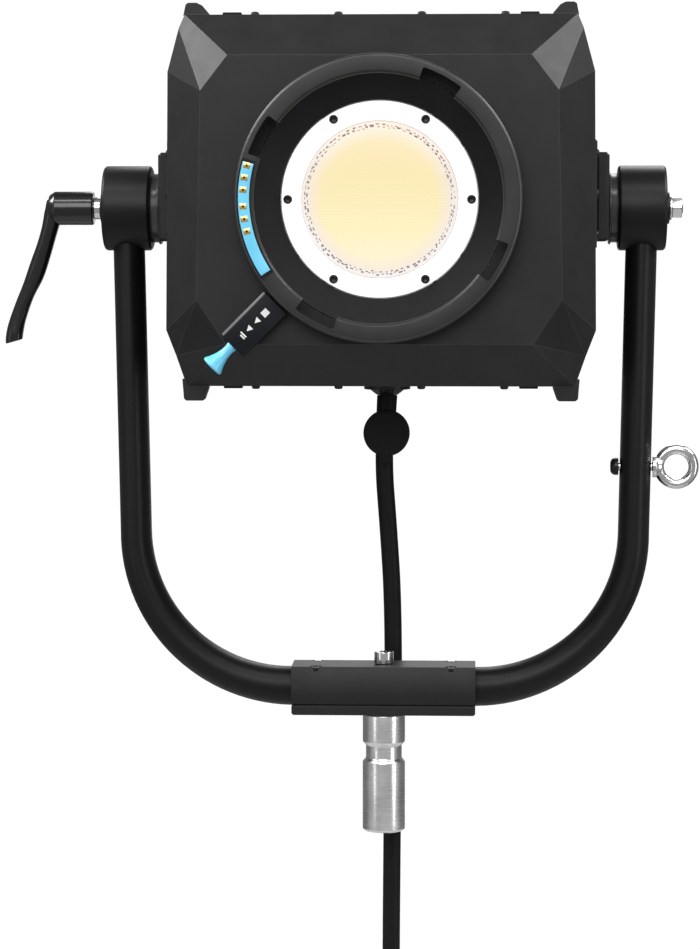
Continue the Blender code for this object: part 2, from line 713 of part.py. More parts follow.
def add_lever(yoke, core, grip):
    """Clamping lever: a steel insert that turns the bolt, and a grip that lifts off its splines."""
    start = -HUB_X[1] - GAP
    washer = sleeve(BORE_RADIUS, 10.3, start - 2.3, start, "X", sides=28)
    add_object("lever_washer", washer, BLACK_PLASTIC, yoke)
    collar = start - 2.3 - GAP
    insert = (
        (0.0, -139.5),
        (BOLT_RADIUS, -139.5),
        (BOLT_RADIUS, collar),
        (7.4, collar),
        (7.4, collar - 4.4),
        (5.0, collar - 4.4),
        (5.0, collar - 15.0),
        (1.6, collar - 15.0),
        (1.6, collar - 8.0),
        (0.0, collar - 8.0),
    )
    add_object("lever_insert", turned(insert, "X", sides=20), BRIGHT_STEEL, core)
    inner = collar - 4.4 - GAP
    barrel = (
        (0.0, inner),
        (10.4, inner),
        (11.15, inner - 0.8),
        (11.15, inner - 27.0),
        (8.6, inner - 29.8),
        (0.0, inner - 29.8),
    )
    handle = add_object("lever_handle", turned(barrel, "X", sides=24), BLACK_PLASTIC, grip)
    stations = (
        (-219.4, 4.0, 5.6, 7.4),
        (-220.4, -4.0, 6.2, 7.4),
        (-222.0, -12.0, 6.2, 7.2),
        (-225.0, -22.0, 6.2, 6.6),
        (-229.0, -34.0, 6.6, 6.2),
        (-234.0, -48.0, 6.8, 5.8),
        (-240.0, -61.0, 6.0, 5.8),
        (-245.1, -75.0, 5.7, 6.0),
        (-247.4, -84.0, 5.4, 6.4),
        (-248.0, -88.6, 4.6, 5.6),
    )
    loops = []
    for x, z, half, depth in stations:
        turn = [2 * math.pi * i / 12 for i in range(12)]
        flat = [(half * math.cos(a), depth * math.sin(a)) for a in turn]
        loops.append([(x + across, y, z + LEVER_LEAN * across) for across, y in flat])
    join(handle, loft(loops))
    cut(handle, rod(5.4, inner - 11.5, inner + 5.0, "X", sides=16))
    cut(handle, rod(2.0, inner - 40.0, inner - 8.0, "X", sides=12))
    cut(handle, rod(4.4, inner - 42.0, inner - 13.5, "X", sides=16))
    screw = (
        (0.0, inner - 24.1),
        (3.6, inner - 24.1),
        (3.6, inner - 21.8),
        (1.3, inner - 21.8),
        (1.3, inner - 4.0),
        (0.0, inner - 4.0),
    )
    add_object("lever_screw", turned(screw, "X", sides=16), BLACK_STEEL, core)


def add_eye_bolt(yoke):
    """Safety-cable eye on the right arm, held by a domed nut on the arm's inner face."""
    centre = (194.0, 0.0, EYE_BOLT_Z)
    circle = 11.5
    wire = 3.4
    profile = []
    for i in range(8):
        angle = 2 * math.pi * i / 8
        profile.append((circle + wire * math.cos(angle), wire * math.sin(angle)))
    eye = add_object("eye_bolt", turned(profile, "Y", centre, 28), BRIGHT_STEEL, yoke)
    shank = (
        (0.0, 152.6),
        (2.9, 152.6),
        (2.9, 178.2),
        (7.3, 178.2),
        (7.3, 180.6),
        (6.0, 182.2),
        (5.0, 184.4),
        (0.0, 184.4),
    )
    join(eye, turned(shank, "X", (0.0, 0.0, EYE_BOLT_Z), 16))
    nut = (
        (3.2, 155.6),
        (5.8, 155.6),
        (5.8, 152.4),
        (5.0, 151.0),
        (3.2, 150.4),
    )
    add_object("eye_bolt_nut", turned(nut, "X", (0.0, 0.0, EYE_BOLT_Z), 16), BLACK_STEEL, yoke)


def add_gland(head):
    top = EDGE_CORNERS[5][1] + CASE_STEP - GAP
    centre = (GLAND_X, GLAND_Y, 0.0)
    flange = (
        (0.0, top),
        (15.75, top),
        (15.75, -120.6),
        (14.9, -121.5),
        (11.0, -121.5),
        (6.7, -125.4),
        (0.0, -125.4),
    )
    add_object("cable_gland", turned(flange, "Z", centre, 24), BLACK_PLASTIC, head)
    relief = ((0.0, -125.7), (7.6, -125.7), (7.4, -134.0), (6.8, RELIEF_END_Z), (0.0, RELIEF_END_Z))
    shape = turned(relief, "Z", (GLAND_X, GLAND_Y, 0.0), 20)
    lean = Matrix.Identity(4)
    lean[0][2] = (GLAND_X - CORD_ROUTE[0][0]) / (-125.7 - RELIEF_END_Z)
    pin = Matrix.Translation((0.0, 0.0, -125.7))
    add_object("strain_relief", moved(shape, pin @ lean @ pin.inverted()), BLACK_RUBBER, head)


def smooth_points(route, step):
    """Points at about equal steps along a Catmull-Rom curve through the route."""
    knots = [Vector(point) for point in route]
    knots = [2 * knots[0] - knots[1]] + knots + [2 * knots[-1] - knots[-2]]
    fine = []
    for a, b, c, d in zip(knots, knots[1:], knots[2:], knots[3:]):
        for i in range(24):
            t = i / 24
            square = (2 * a - 5 * b + 4 * c - d) * t**2
            cube = (3 * b - a - 3 * c + d) * t**3
            fine.append(0.5 * (2 * b + (c - a) * t + square + cube))
    fine.append(knots[-2])
    lengths = [0.0]
    for a, b in zip(fine, fine[1:]):
        lengths.append(lengths[-1] + (b - a).length)
    count = round(lengths[-1] / step)
    points = []
    for i in range(count + 1):
        wanted = lengths[-1] * i / count
        nearest = min(range(len(fine)), key=lambda k: abs(lengths[k] - wanted))
        points.append(fine[nearest])
    return points


def add_cord(head):
    curve = bpy.data.curves.new("head_cord", "CURVE")
    curve.dimensions = "3D"
    curve.bevel_depth = CORD_RADIUS * MM
    curve.bevel_resolution = 3
    curve.use_fill_caps = True
    points = smooth_points(CORD_ROUTE, CORD_STEP)
    spline = curve.splines.new("POLY")
    spline.points.add(len(points) - 1)
    for point, place in zip(spline.points, points):
        point.co = (*(place * MM), 1.0)
    curve.materials.append(material_of("head_cord", BLACK_RUBBER))
    cord = bpy.data.objects.new("head_cord", curve)
    bpy.context.scene.collection.objects.link(cord)
    cord.parent = head


def add_connector(head):
    """Cable-mounted socket at the cord's end, with a bend protector and a locking sleeve."""
    x, y, top = CORD_ROUTE[-1]
    top -= GAP
    profile = (
        (0.0, top),
        (7.4, top),
        (9.6, top - 18.0),
        (11.6, top - 20.0),
        (11.6, top - 38.0),
        (14.4, top - 40.0),
        (14.4, top - CONNECTOR_LENGTH + 1.5),
        (13.2, top - CONNECTOR_LENGTH),
        (11.6, top - CONNECTOR_LENGTH),
        (11.6, top - CONNECTOR_LENGTH + 12.0),
        (0.0, top - CONNECTOR_LENGTH + 12.0),
    )
    add_object("cord_connector", turned(profile, "Z", (x, y, 0.0), 20), BLACK_PLASTIC, head)


def add_dust_cap(cap):
    """Rubber cap for the connector, hanging on its own strap from the gland."""
    x, y, top = CAP_HINGE
    centre = (x, 0.0, CAP_CENTRE_Z)
    front = 18.6
    disc = (
        (0.0, front),
        (CAP_RADIUS - 1.2, front),
        (CAP_RADIUS, front + 1.2),
        (CAP_RADIUS, front + 6.0),
        (CAP_RADIUS - 1.6, front + 6.0),
        (CAP_RADIUS - 1.6, front + 2.4),
        (0.0, front + 2.4),
    )
    body = add_object("dust_cap", turned(disc, "Y", centre, 24), BLACK_RUBBER, cap)
    low = CAP_CENTRE_Z + CAP_RADIUS - 3.0
    join(body, box((x - 2.95, x + 2.95), (front + 0.4, front + 3.0), (low, top + 1.2)))
    tab = CAP_CENTRE_Z - CAP_RADIUS
    join(body, rounded(box((x - 4.0, x + 4.0), (front + 0.4, front + 3.0), (tab - 4.5, tab + 3.0)), 0.8))


def place_origins(axis_empties):
    """Moves each object's origin onto the empty that carries its joint."""
    for obj in bpy.data.objects:
        if obj.parent in axis_empties and obj.type in ("MESH", "CURVE"):
            offset = axis_empties[obj.parent]
            obj.data.transform(Matrix.Translation(-Vector(offset) * MM))


def main():
    clear_scene()
    lamp = make_empty("lamp_frame", (0.0, 0.0, PIVOT_HEIGHT))
    yoke = make_empty("yoke_frame", parent=lamp)
    head = make_empty("tilt_axis", parent=lamp)
    core = make_empty("lever_axis", parent=lamp)
    grip = make_empty("lever_grip_axis", parent=core)
    rotor_axis = make_empty("fan_axis", parent=head)
    latch = make_empty("latch_slide", parent=head)
    cap = make_empty("cap_hinge_axis", CAP_HINGE, head)
    add_front_bezel(head)
    add_covers(head)
    add_rear(head)
    add_mount_ring(head)
    add_contact_strip(head)
    add_lamp(head)
    add_heat_sink(head)
    add_fan(head, rotor_axis)
    add_latch(head, latch)
    for side in (-1, 1):
        add_tilt_joint(head, yoke, side)
        add_yoke_arm(yoke, side)
    add_clamp(yoke)
    add_right_pivot(yoke)
    add_lever(yoke, core, grip)
    add_eye_bolt(yoke)
    add_gland(head)
    add_cord(head)
    add_connector(head)
    add_dust_cap(cap)
    place_origins({cap: CAP_HINGE})


main()
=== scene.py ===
import json
import math
import random

import bmesh
import bpy
from mathutils import Matrix, Vector
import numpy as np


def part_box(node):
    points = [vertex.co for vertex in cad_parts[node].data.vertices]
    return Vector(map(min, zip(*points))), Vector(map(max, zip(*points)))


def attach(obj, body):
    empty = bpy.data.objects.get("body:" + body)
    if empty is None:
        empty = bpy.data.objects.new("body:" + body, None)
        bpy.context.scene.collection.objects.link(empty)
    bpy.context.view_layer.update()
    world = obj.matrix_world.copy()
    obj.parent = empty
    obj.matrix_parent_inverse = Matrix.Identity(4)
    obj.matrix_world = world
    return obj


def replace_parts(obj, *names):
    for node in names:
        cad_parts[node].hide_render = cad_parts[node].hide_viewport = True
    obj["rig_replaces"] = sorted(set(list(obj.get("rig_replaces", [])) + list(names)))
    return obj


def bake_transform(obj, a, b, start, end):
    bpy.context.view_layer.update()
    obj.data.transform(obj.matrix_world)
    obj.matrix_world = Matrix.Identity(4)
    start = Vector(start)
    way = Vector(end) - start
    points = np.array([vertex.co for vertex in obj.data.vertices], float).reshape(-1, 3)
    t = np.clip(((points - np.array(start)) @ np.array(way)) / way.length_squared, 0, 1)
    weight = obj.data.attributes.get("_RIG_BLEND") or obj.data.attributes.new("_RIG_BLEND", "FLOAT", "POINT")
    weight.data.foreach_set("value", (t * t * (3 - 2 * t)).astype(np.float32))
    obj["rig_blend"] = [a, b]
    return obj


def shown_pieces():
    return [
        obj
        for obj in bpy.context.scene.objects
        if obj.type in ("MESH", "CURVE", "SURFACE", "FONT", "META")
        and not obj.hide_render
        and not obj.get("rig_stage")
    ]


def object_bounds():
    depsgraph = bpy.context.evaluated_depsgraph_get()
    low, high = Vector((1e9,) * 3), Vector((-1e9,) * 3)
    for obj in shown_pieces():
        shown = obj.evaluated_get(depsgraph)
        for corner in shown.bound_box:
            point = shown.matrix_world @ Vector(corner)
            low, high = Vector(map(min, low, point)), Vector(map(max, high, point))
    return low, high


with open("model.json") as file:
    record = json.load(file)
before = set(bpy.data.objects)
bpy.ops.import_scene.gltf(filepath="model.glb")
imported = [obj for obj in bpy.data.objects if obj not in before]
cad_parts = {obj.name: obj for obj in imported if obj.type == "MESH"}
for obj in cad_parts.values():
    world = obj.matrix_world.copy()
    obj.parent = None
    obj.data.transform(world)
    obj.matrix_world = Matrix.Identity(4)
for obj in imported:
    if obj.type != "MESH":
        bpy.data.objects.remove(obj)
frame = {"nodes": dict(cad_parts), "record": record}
cad_low, cad_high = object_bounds()

# Shapes are drawn in millimetres about the tilt axis, as in the CAD, and scaled to metres there.
MM = 0.001
JOINTS = {joint["name"]: joint for joint in frame["record"]["behaviour"]["joints"]}
PIVOT = Vector(JOINTS["head_tilt"]["pos_m"])
BODY_OF = {n: b for b, ns in frame["record"]["behaviour"]["bodies"].items() for n in ns}
SLOT_OF = {part["node"]: part["material_slot"] for part in frame["record"]["subparts"]}
# Clearance that the CAD leaves between two neighbouring solids.
GAP = 0.3
# The lamp's axis, along Y, lies this far above the tilt axis.
LAMP_Z = 4.0
CENTRE = (0.0, 0.0, LAMP_Z)


def local_box(node):
    """A CAD node's corners in millimetres from the tilt axis."""
    low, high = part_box(node)
    return (low - PIVOT) / MM, (high - PIVOT) / MM


# ---------------------------------------------------------------- materials

MATERIALS = {}


class Graph:
    """A short way to write a material's nodes."""

    def __init__(self, name):
        self.material = bpy.data.materials.new(name)
        self.material.use_nodes = True
        self.tree = self.material.node_tree
        self.shader = self.tree.nodes["Principled BSDF"]
        coordinates = self.tree.nodes.new("ShaderNodeTexCoord")
        self.place = coordinates.outputs["Object"]
        MATERIALS[name] = self.material

    def node(self, kind, links=(), **values):
        node = self.tree.nodes.new(kind)
        for key, value in values.items():
            setattr(node, key, value)
        for socket, source in links:
            if isinstance(source, bpy.types.NodeSocket):
                self.tree.links.new(source, node.inputs[socket])
            else:
                node.inputs[socket].default_value = source
        return node

    def noise(self, scale, detail=3.0, vector=None):
        links = (("Vector", vector or self.place), ("Scale", scale), ("Detail", detail), ("Roughness", 0.55))
        return self.node("ShaderNodeTexNoise", links).outputs["Fac"]

    def compute(self, operation, first, second):
        return self.node("ShaderNodeMath", ((0, first), (1, second)), operation=operation).outputs["Value"]

    def mix(self, factor, first, second):
        """A blend of two colours; the node's colour sockets have no names of their own."""
        links = (("Factor", factor), (6, first), (7, second))
        return self.node("ShaderNodeMix", links, data_type="RGBA").outputs[2]

    def span(self, value, low, high, start=0.3, end=0.7):
        links = (("Value", value), ("From Min", start), ("From Max", end), ("To Min", low), ("To Max", high))
        return self.node("ShaderNodeMapRange", links).outputs["Result"]

    def ramp(self, value, *stops):
        node = self.node("ShaderNodeValToRGB", (("Fac", value),))
        ramp = node.color_ramp
        while len(ramp.elements) < len(stops):
            ramp.elements.new(0.5)
        for element, (position, colour) in zip(ramp.elements, stops):
            element.position = position
            element.color = (*colour, 1.0)
        return node.outputs["Color"]

    def bump(self, height, strength, distance):
        links = (("Height", height), ("Strength", strength), ("Distance", distance))
        return self.node("ShaderNodeBump", links).outputs["Normal"]

    def join(self, socket, source):
        if isinstance(source, bpy.types.NodeSocket):
            self.tree.links.new(source, self.shader.inputs[socket])
        else:
            self.shader.inputs[socket].default_value = source


# How many patches of slightly different tone, and of different roughness, lie on a metre of a finish.
TONE_PATCHES = 40.0
GLOSS_PATCHES = 120.0


def grained(name, dark, light, rough, grain, depth, metallic=0.0, specular=0.5, coat=0.0):
    """A finish with a fine surface grain, slow changes of tone, and slow changes of roughness."""
    g = Graph(name)
    tone = g.noise(TONE_PATCHES, 4.0)
    g.join("Base Color", g.ramp(tone, (0.3, dark), (0.7, light)))
    fine = g.noise(grain, 2.0)
    g.join("Roughness", g.span(g.noise(GLOSS_PATCHES, 5.0), rough - 0.02, rough + 0.025))
    g.join("Normal", g.bump(fine, 0.35, depth))
    g.join("Metallic", metallic)
    g.join("Specular IOR Level", specular)
    g.join("Coat Weight", coat)
    return g.material


def brushed(name, tone, rough, lines_along, depth):
    """Plated or turned metal, with fine lines round its axis."""
    g = Graph(name)
    stretch = g.node("ShaderNodeMapping", (("Vector", g.place), ("Scale", lines_along)))
    lines = g.noise(1.0, 3.0, stretch.outputs["Vector"])
    light = tuple(min(1.0, c * 1.15) for c in tone)
    dark = tuple(c * 0.82 for c in tone)
    g.join("Base Color", g.ramp(g.noise(60.0, 4.0), (0.3, dark), (0.7, light)))
    g.join("Roughness", g.span(lines, rough - 0.06, rough + 0.1))
    g.join("Normal", g.bump(lines, 0.1, depth))
    g.join("Metallic", 1.0)
    return g.material


def radial(g, centre_z):
    """Distance from the lamp's axis, in millimetres."""
    flat = (("Vector", g.place), ("Location", (0.0, 0.0, -centre_z)), ("Scale", (1.0, 0.0, 1.0)))
    shift = g.node("ShaderNodeMapping", flat).outputs["Vector"]
    length = g.node("ShaderNodeVectorMath", (("Vector", shift),), operation="LENGTH").outputs["Value"]
    return g.compute("MULTIPLY", length, 1.0 / MM)


def warm_glow(g, centre_z):
    """Colour of the lit lamp: paler low down and towards its rim."""
    split = g.node("ShaderNodeSeparateXYZ", (("Vector", g.place),))
    height = g.span(split.outputs["Z"], 0.0, 1.0, centre_z - 0.045, centre_z + 0.045)
    face = g.ramp(
        height,
        (0.0, (1.0, 0.95, 0.72)),
        (0.3, (1.0, 0.91, 0.56)),
        (0.65, (1.0, 0.88, 0.50)),
        (1.0, (0.95, 0.75, 0.44)),
    )
    reach = radial(g, centre_z)
    rim = g.span(reach, 0.0, 1.0, 36.0, 44.5)
    edge = g.span(reach, 0.0, 1.0, 44.5, 46.5)
    return g.mix(edge, g.mix(rim, face, (0.96, 0.87, 0.76, 1.0)), (0.97, 0.94, 0.95, 1.0))


def lit(name, colour, rough):
    """A material that glows in the colour that the function makes."""
    g = Graph(name)
    g.join("Base Color", (0.05, 0.045, 0.03, 1.0))
    g.join("Emission Color", colour(g))
    g.join("Emission Strength", 0.97)
    g.join("Roughness", rough)
    return g


def dimpled_glow(g, centre_z):
    """The lamp's colour through its lens: each dimple's middle is brighter than its edge."""
    dimple = g.node("ShaderNodeAttribute", attribute_name="glow").outputs["Fac"]
    split = g.node("ShaderNodeSeparateXYZ", (("Vector", g.place),))
    depth = g.span(split.outputs["Z"], 0.16, 0.5, centre_z - 0.02, centre_z + 0.045)
    loss = g.compute("MULTIPLY", g.compute("SUBTRACT", 1.0, dimple), depth)
    return g.mix(loss, warm_glow(g, centre_z), (0.72, 0.50, 0.26, 1.0))


# Name, dark tone, light tone, roughness, grains to a metre, depth of a grain in metres, and the rest by name.
GRAINED = (
    ("black_paint", (0.0085, 0.0085, 0.009), (0.0125, 0.0125, 0.013), 0.46, 1.5e3, 12e-5, {"specular": 0.3}),
    ("ring_paint", (0.010, 0.010, 0.0105), (0.016, 0.016, 0.0165), 0.4, 1500.0, 0.00012, {"specular": 0.4}),
    # A lighter tone for narrow edge strips: a painted highlight.
    ("painted_edge_highlight", (0.030, 0.030, 0.031), (0.05, 0.05, 0.051), 0.4, 900.0, 0.0001, {"specular": 0.4}),
    ("black_tube", (0.004, 0.004, 0.0042), (0.006, 0.006, 0.0063), 0.4, 1500.0, 0.0001, {"specular": 0.24}),
    ("black_plastic", (0.005, 0.005, 0.0055), (0.008, 0.008, 0.009), 0.36, 2200.0, 6e-5, {"specular": 0.35}),
    ("latch_black", (0.003, 0.0035, 0.006), (0.005, 0.006, 0.009), 0.4, 1600.0, 0.00006, {"specular": 0.2}),
    ("gloss_black", (0.003, 0.003, 0.0033), (0.005, 0.005, 0.0055), 0.2, 700.0, 0.00004, {"coat": 0.25}),
    ("black_rubber", (0.003, 0.003, 0.003), (0.005, 0.005, 0.005), 0.6, 1800.0, 0.00012, {"specular": 0.2}),
    ("cord_rubber", (0.003, 0.003, 0.0032), (0.005, 0.005, 0.0053), 0.48, 1200.0, 1e-4, {"specular": 0.18}),
    ("black_steel", (0.012, 0.012, 0.013), (0.022, 0.022, 0.023), 0.26, 900.0, 0.00004, {"metallic": 0.6}),
    # The dish's own near-black, and painted shade on the mount ring's recessed faces.
    ("dish_black_and_recess_shade", (0.003, 0.003, 0.0035), (0.005, 0.005, 0.0055), 0.55, 1300.0, 0.0001, {"specular": 0.25}),
    ("cyan_plastic", (0.13, 0.55, 0.82), (0.18, 0.64, 0.90), 0.3, 800.0, 0.00004, {"coat": 0.3}),
    ("white_plastic", (0.86, 0.86, 0.86), (0.92, 0.92, 0.92), 0.4, 900.0, 0.00004, {}),
    ("green_board", (0.01, 0.12, 0.05), (0.02, 0.18, 0.08), 0.4, 500.0, 0.00004, {}),
    ("gold_contact", (0.7, 0.45, 0.12), (0.85, 0.6, 0.2), 0.25, 600.0, 0.00003, {"metallic": 1.0}),
    # A lighter grey for the strip along one edge of the latch bar: a painted highlight.
    ("painted_latch_highlight", (0.16, 0.16, 0.17), (0.22, 0.22, 0.23), 0.35, 900.0, 0.00004, {"metallic": 0.3}),
    ("print_white", (0.75, 0.75, 0.75), (0.85, 0.85, 0.85), 0.5, 900.0, 0.00002, {}),
    ("satin_grey", (0.05, 0.05, 0.051), (0.08, 0.08, 0.081), 0.25, 900.0, 0.00003, {"metallic": 0.5}),
    ("lens_mark", (0.16, 0.13, 0.19), (0.42, 0.36, 0.38), 0.3, 900.0, 0.00002, {}),
)
# Name, tone, roughness, lines to a metre along X, Y and Z, and depth of a line in metres.
BRUSHED = (
    ("bright_steel", (0.74, 0.74, 0.75), 0.14, (150.0, 150.0, 3000.0), 0.00003),
    ("turned_steel", (0.86, 0.86, 0.87), 0.24, (40.0, 40.0, 9000.0), 0.00001),
    ("bare_aluminium", (0.6, 0.61, 0.62), 0.36, (5000.0, 90.0, 90.0), 0.00003),
)


def make_materials():
    for *look, others in GRAINED:
        grained(*look, **others)
    for look in BRUSHED:
        brushed(*look)
    lamp_z = PIVOT.z + LAMP_Z * MM
    lit("lit_phosphor", lambda g: warm_glow(g, lamp_z), 0.5)
    lens = lit("lit_silicone", lambda g: dimpled_glow(g, lamp_z), 0.18)
    lens.join("Normal", lens.bump(lens.noise(900.0, 1.0), 0.2, 0.0002))
    # Painted light: the white plastic glows, standing in for the lamp's light falling on the retainer round it.
    white = MATERIALS["white_plastic"].node_tree.nodes["Principled BSDF"]
    white.inputs["Emission Color"].default_value = (1.0, 1.0, 1.0, 1.0)
    white.inputs["Emission Strength"].default_value = 0.7


SLOT_LOOKS = {"yellow_phosphor": "lit_phosphor", "clear_silicone": "lit_silicone"}


# ---------------------------------------------------------------- shape tools


def linked(name, data):
    obj = bpy.data.objects.new(name, data)
    bpy.context.scene.collection.objects.link(obj)
    return obj


def mesh_object(name, bm, look, sharp):
    """An object from a bmesh in millimetres about the tilt axis, smooth up to the sharp angle."""
    bmesh.ops.recalc_face_normals(bm, faces=bm.faces)
    bmesh.ops.transform(bm, matrix=Matrix.Translation(PIVOT) @ Matrix.Scale(MM, 4), verts=bm.verts)
    mesh = bpy.data.meshes.new(name)
    bm.to_mesh(mesh)
    bm.free()
    mesh.shade_smooth()
    mesh.set_sharp_from_angle(angle=math.radians(sharp))
    mesh.materials.append(MATERIALS[look])
    return linked(name, mesh)


def add_piece(name, bm, look, body, sharp=35.0):
    """Makes a piece and ties it to its body."""
    obj = mesh_object(name, bm, look, sharp)
    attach(obj, body)
    return obj


def stand_in(node, suffix, bm, look, sharp=35.0):
    """Makes a piece that replaces one CAD node, on that node's body."""
    obj = add_piece(f"{node}_{suffix}", bm, look, BODY_OF[node], sharp)
    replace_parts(obj, node)
    return obj


def bmesh_boolean(first, second, operation):
    """Joins or cuts one bmesh with another and returns a new one."""
    pair = []
    for bm in (first, second):
        bmesh.ops.recalc_face_normals(bm, faces=bm.faces)
        mesh = bpy.data.meshes.new("boolean")
        bm.to_mesh(mesh)
        bm.free()
        pair.append(linked("boolean", mesh))
    modifier = pair[0].modifiers.new("boolean", "BOOLEAN")
    modifier.operation = operation
    modifier.solver = "EXACT"
    modifier.object = pair[1]
    bpy.context.view_layer.update()
    graph = bpy.context.evaluated_depsgraph_get()
    out = bmesh.new()
    out.from_mesh(pair[0].evaluated_get(graph).to_mesh())
    for obj in pair:
        mesh = obj.data
        bpy.data.objects.remove(obj)
        bpy.data.meshes.remove(mesh)
    return out


def merged(*pieces):
    whole = pieces[0]
    for piece in pieces[1:]:
        mesh = bpy.data.meshes.new("merged")
        piece.to_mesh(mesh)
        piece.free()
        whole.from_mesh(mesh)
        bpy.data.meshes.remove(mesh)
    return whole


def moved(bm, matrix):
    bmesh.ops.transform(bm, matrix=matrix, verts=bm.verts)
    return bm


def bevelled(bm, angle, **settings):
    """Bevels every edge sharper than the angle and returns the new faces."""
    bmesh.ops.recalc_face_normals(bm, faces=bm.faces)
    limit = math.radians(angle)
    sharp = [e for e in bm.edges if len(e.link_faces) == 2 and e.calc_face_angle() > limit]
    return bmesh.ops.bevel(bm, geom=sharp, affect="EDGES", clamp_overlap=True, **settings)["faces"]


def rounded(bm, width, segments=2, angle=30.0):
    bevelled(bm, angle, offset=width, segments=segments, profile=0.6)
    return bm


def box(x, y, z):
    bm = bmesh.new()
    bmesh.ops.create_cube(bm, size=1.0)
    bmesh.ops.scale(bm, vec=(x[1] - x[0], y[1] - y[0], z[1] - z[0]), verts=bm.verts)
    bmesh.ops.translate(bm, vec=((x[0] + x[1]) / 2, (y[0] + y[1]) / 2, (z[0] + z[1]) / 2), verts=bm.verts)
    return bm


def loft(loops):
    bm = bmesh.new()
    rows = [[bm.verts.new(point) for point in loop] for loop in loops]
    count = len(rows[0])
    for row, after in zip(rows, rows[1:]):
        for i in range(count):
            j = (i + 1) % count
            bm.faces.new((row[i], row[j], after[j], after[i]))
    bm.faces.new(rows[0])
    bm.faces.new(reversed(rows[-1]))
    return bm


PLANES = {
    "X": lambda a, b, h: (h, a, b),
    "Y": lambda a, b, h: (a, h, b),
    "Z": lambda a, b, h: (a, b, h),
}


def prism(outline, low, high, axis="Y"):
    return loft([[PLANES[axis](a, b, height) for a, b in outline] for height in (low, high)])


def turned(profile, axis="Y", centre=(0.0, 0.0, 0.0), sides=64):
    """A profile of (radius, height) points spun about an axis, closed on itself or on the axis."""
    bm = bmesh.new()
    rows = []
    angles = [2 * math.pi * i / sides for i in range(sides)]
    for radius, height in profile:
        if radius == 0.0:
            rows.append([bm.verts.new(PLANES[axis](0.0, 0.0, height))] * sides)
        else:
            circle = [(radius * math.cos(a), radius * math.sin(a)) for a in angles]
            rows.append([bm.verts.new(PLANES[axis](a, b, height)) for a, b in circle])
    pairs = list(zip(rows, rows[1:]))
    if profile[0][0] > 0.0:
        pairs.append((rows[-1], rows[0]))
    for row, after in pairs:
        for i in range(sides):
            j = (i + 1) % sides
            bm.faces.new(dict.fromkeys((row[i], row[j], after[j], after[i])))
    bmesh.ops.translate(bm, vec=centre, verts=bm.verts)
    return bm


def rod(radius, low, high, axis="Y", centre=(0.0, 0.0, 0.0), sides=48, chamfer=0.0):
    profile = [(0.0, low), (radius - chamfer, low)]
    if chamfer:
        profile += [(radius, low + chamfer), (radius, high - chamfer)]
    profile += [(radius - chamfer, high), (0.0, high)]
    return turned(profile, axis, centre, sides)


def eased(corners, radius, steps=3):
    """A closed (radius, height) profile with each corner off the axis cut back by a small arc."""
    out = []
    for i, corner in enumerate(corners):
        before, after = corners[i - 1], corners[(i + 1) % len(corners)]
        here = Vector(corner)
        if corner[0] == 0.0:
            out.append(tuple(corner))
            continue
        back, on = Vector(before) - here, Vector(after) - here
        cut = min(radius, back.length * 0.45, on.length * 0.45)
        start, end = here + back.normalized() * cut, here + on.normalized() * cut
        for k in range(steps + 1):
            t = k / steps
            out.append(tuple(start * (1 - t) ** 2 + here * (2 * t * (1 - t)) + end * t**2))
    return out


def sector(inner, outer, start, end, steps):
    angles = [math.radians(start + (end - start) * i / steps) for i in range(steps + 1)]
    arc = [(outer * math.cos(a), outer * math.sin(a)) for a in angles]
    return arc + [(inner * math.cos(a), inner * math.sin(a)) for a in reversed(angles)]


def hexagon(flats, turn=0.0):
    radius = flats / math.sqrt(3.0)
    angles = [math.radians(60 * i + turn) for i in range(6)]
    return [(radius * math.cos(a), radius * math.sin(a)) for a in angles]


# The casing's two ends, whose slopes meet at shallow edges.
FACETED = ("front_bezel", "rear_cover")


def paint_edge_highlights(bm, width, angle):
    """Eases the edges as a single narrow facet each, in the second material, whose lighter tone is a painted
    highlight.
    """
    for face in bevelled(bm, angle, offset=width, segments=1):
        face.material_index = 1


# The outer corner of each upper corner facet, and how far it comes forward, which makes that facet flat.
KITE_X, KITE_Z = 128.2, 112.7
KITE_FORWARD = 1.9
SLOPE_BACK_Y = -79.0


def refine(node, width, angle):
    """Stands in for a CAD node with the same shape, its edges eased and its round faces smooth."""
    source = frame["nodes"][node]
    bm = bmesh.new()
    bm.from_mesh(source.data)
    bmesh.ops.transform(bm, matrix=Matrix.Scale(1 / MM, 4) @ Matrix.Translation(-PIVOT), verts=bm.verts)
    bmesh.ops.remove_doubles(bm, verts=bm.verts, dist=0.002)
    if node == "front_bezel":
        for vert in bm.verts:
            if math.hypot(abs(vert.co.x) - KITE_X, vert.co.z - KITE_Z) < 0.1 and vert.co.y < SLOPE_BACK_Y:
                vert.co.y -= KITE_FORWARD
    bmesh.ops.dissolve_limit(bm, angle_limit=math.radians(0.6), verts=bm.verts, edges=bm.edges)
    if node in FACETED:
        paint_edge_highlights(bm, width, angle)
    elif width:
        rounded(bm, width, 2, angle)
    slot = SLOT_OF[node]
    piece = stand_in(node, "fine", bm, SLOT_LOOKS.get(slot, slot), 38.0)
    # The second material is the lighter one on the eased edges, a painted highlight.
    if node in FACETED:
        piece.data.materials.append(MATERIALS["painted_edge_highlight"])
    normals = piece.modifiers.new("normals", "WEIGHTED_NORMAL")
    normals.keep_sharp = True
    return piece


# ---------------------------------------------------------------- camera, light and stage

SENSOR_WIDTH = 36.0
# The lens's focal length over the sensor's width.
FOCAL_SHARE = 3.170
# The camera's place in metres, and the degrees by which it looks down and to the left.
CAMERA_FROM_PIVOT = Vector((0.060, -2.000, -0.030))
CAMERA_DOWN = 4.2
CAMERA_LEFT = 2.37


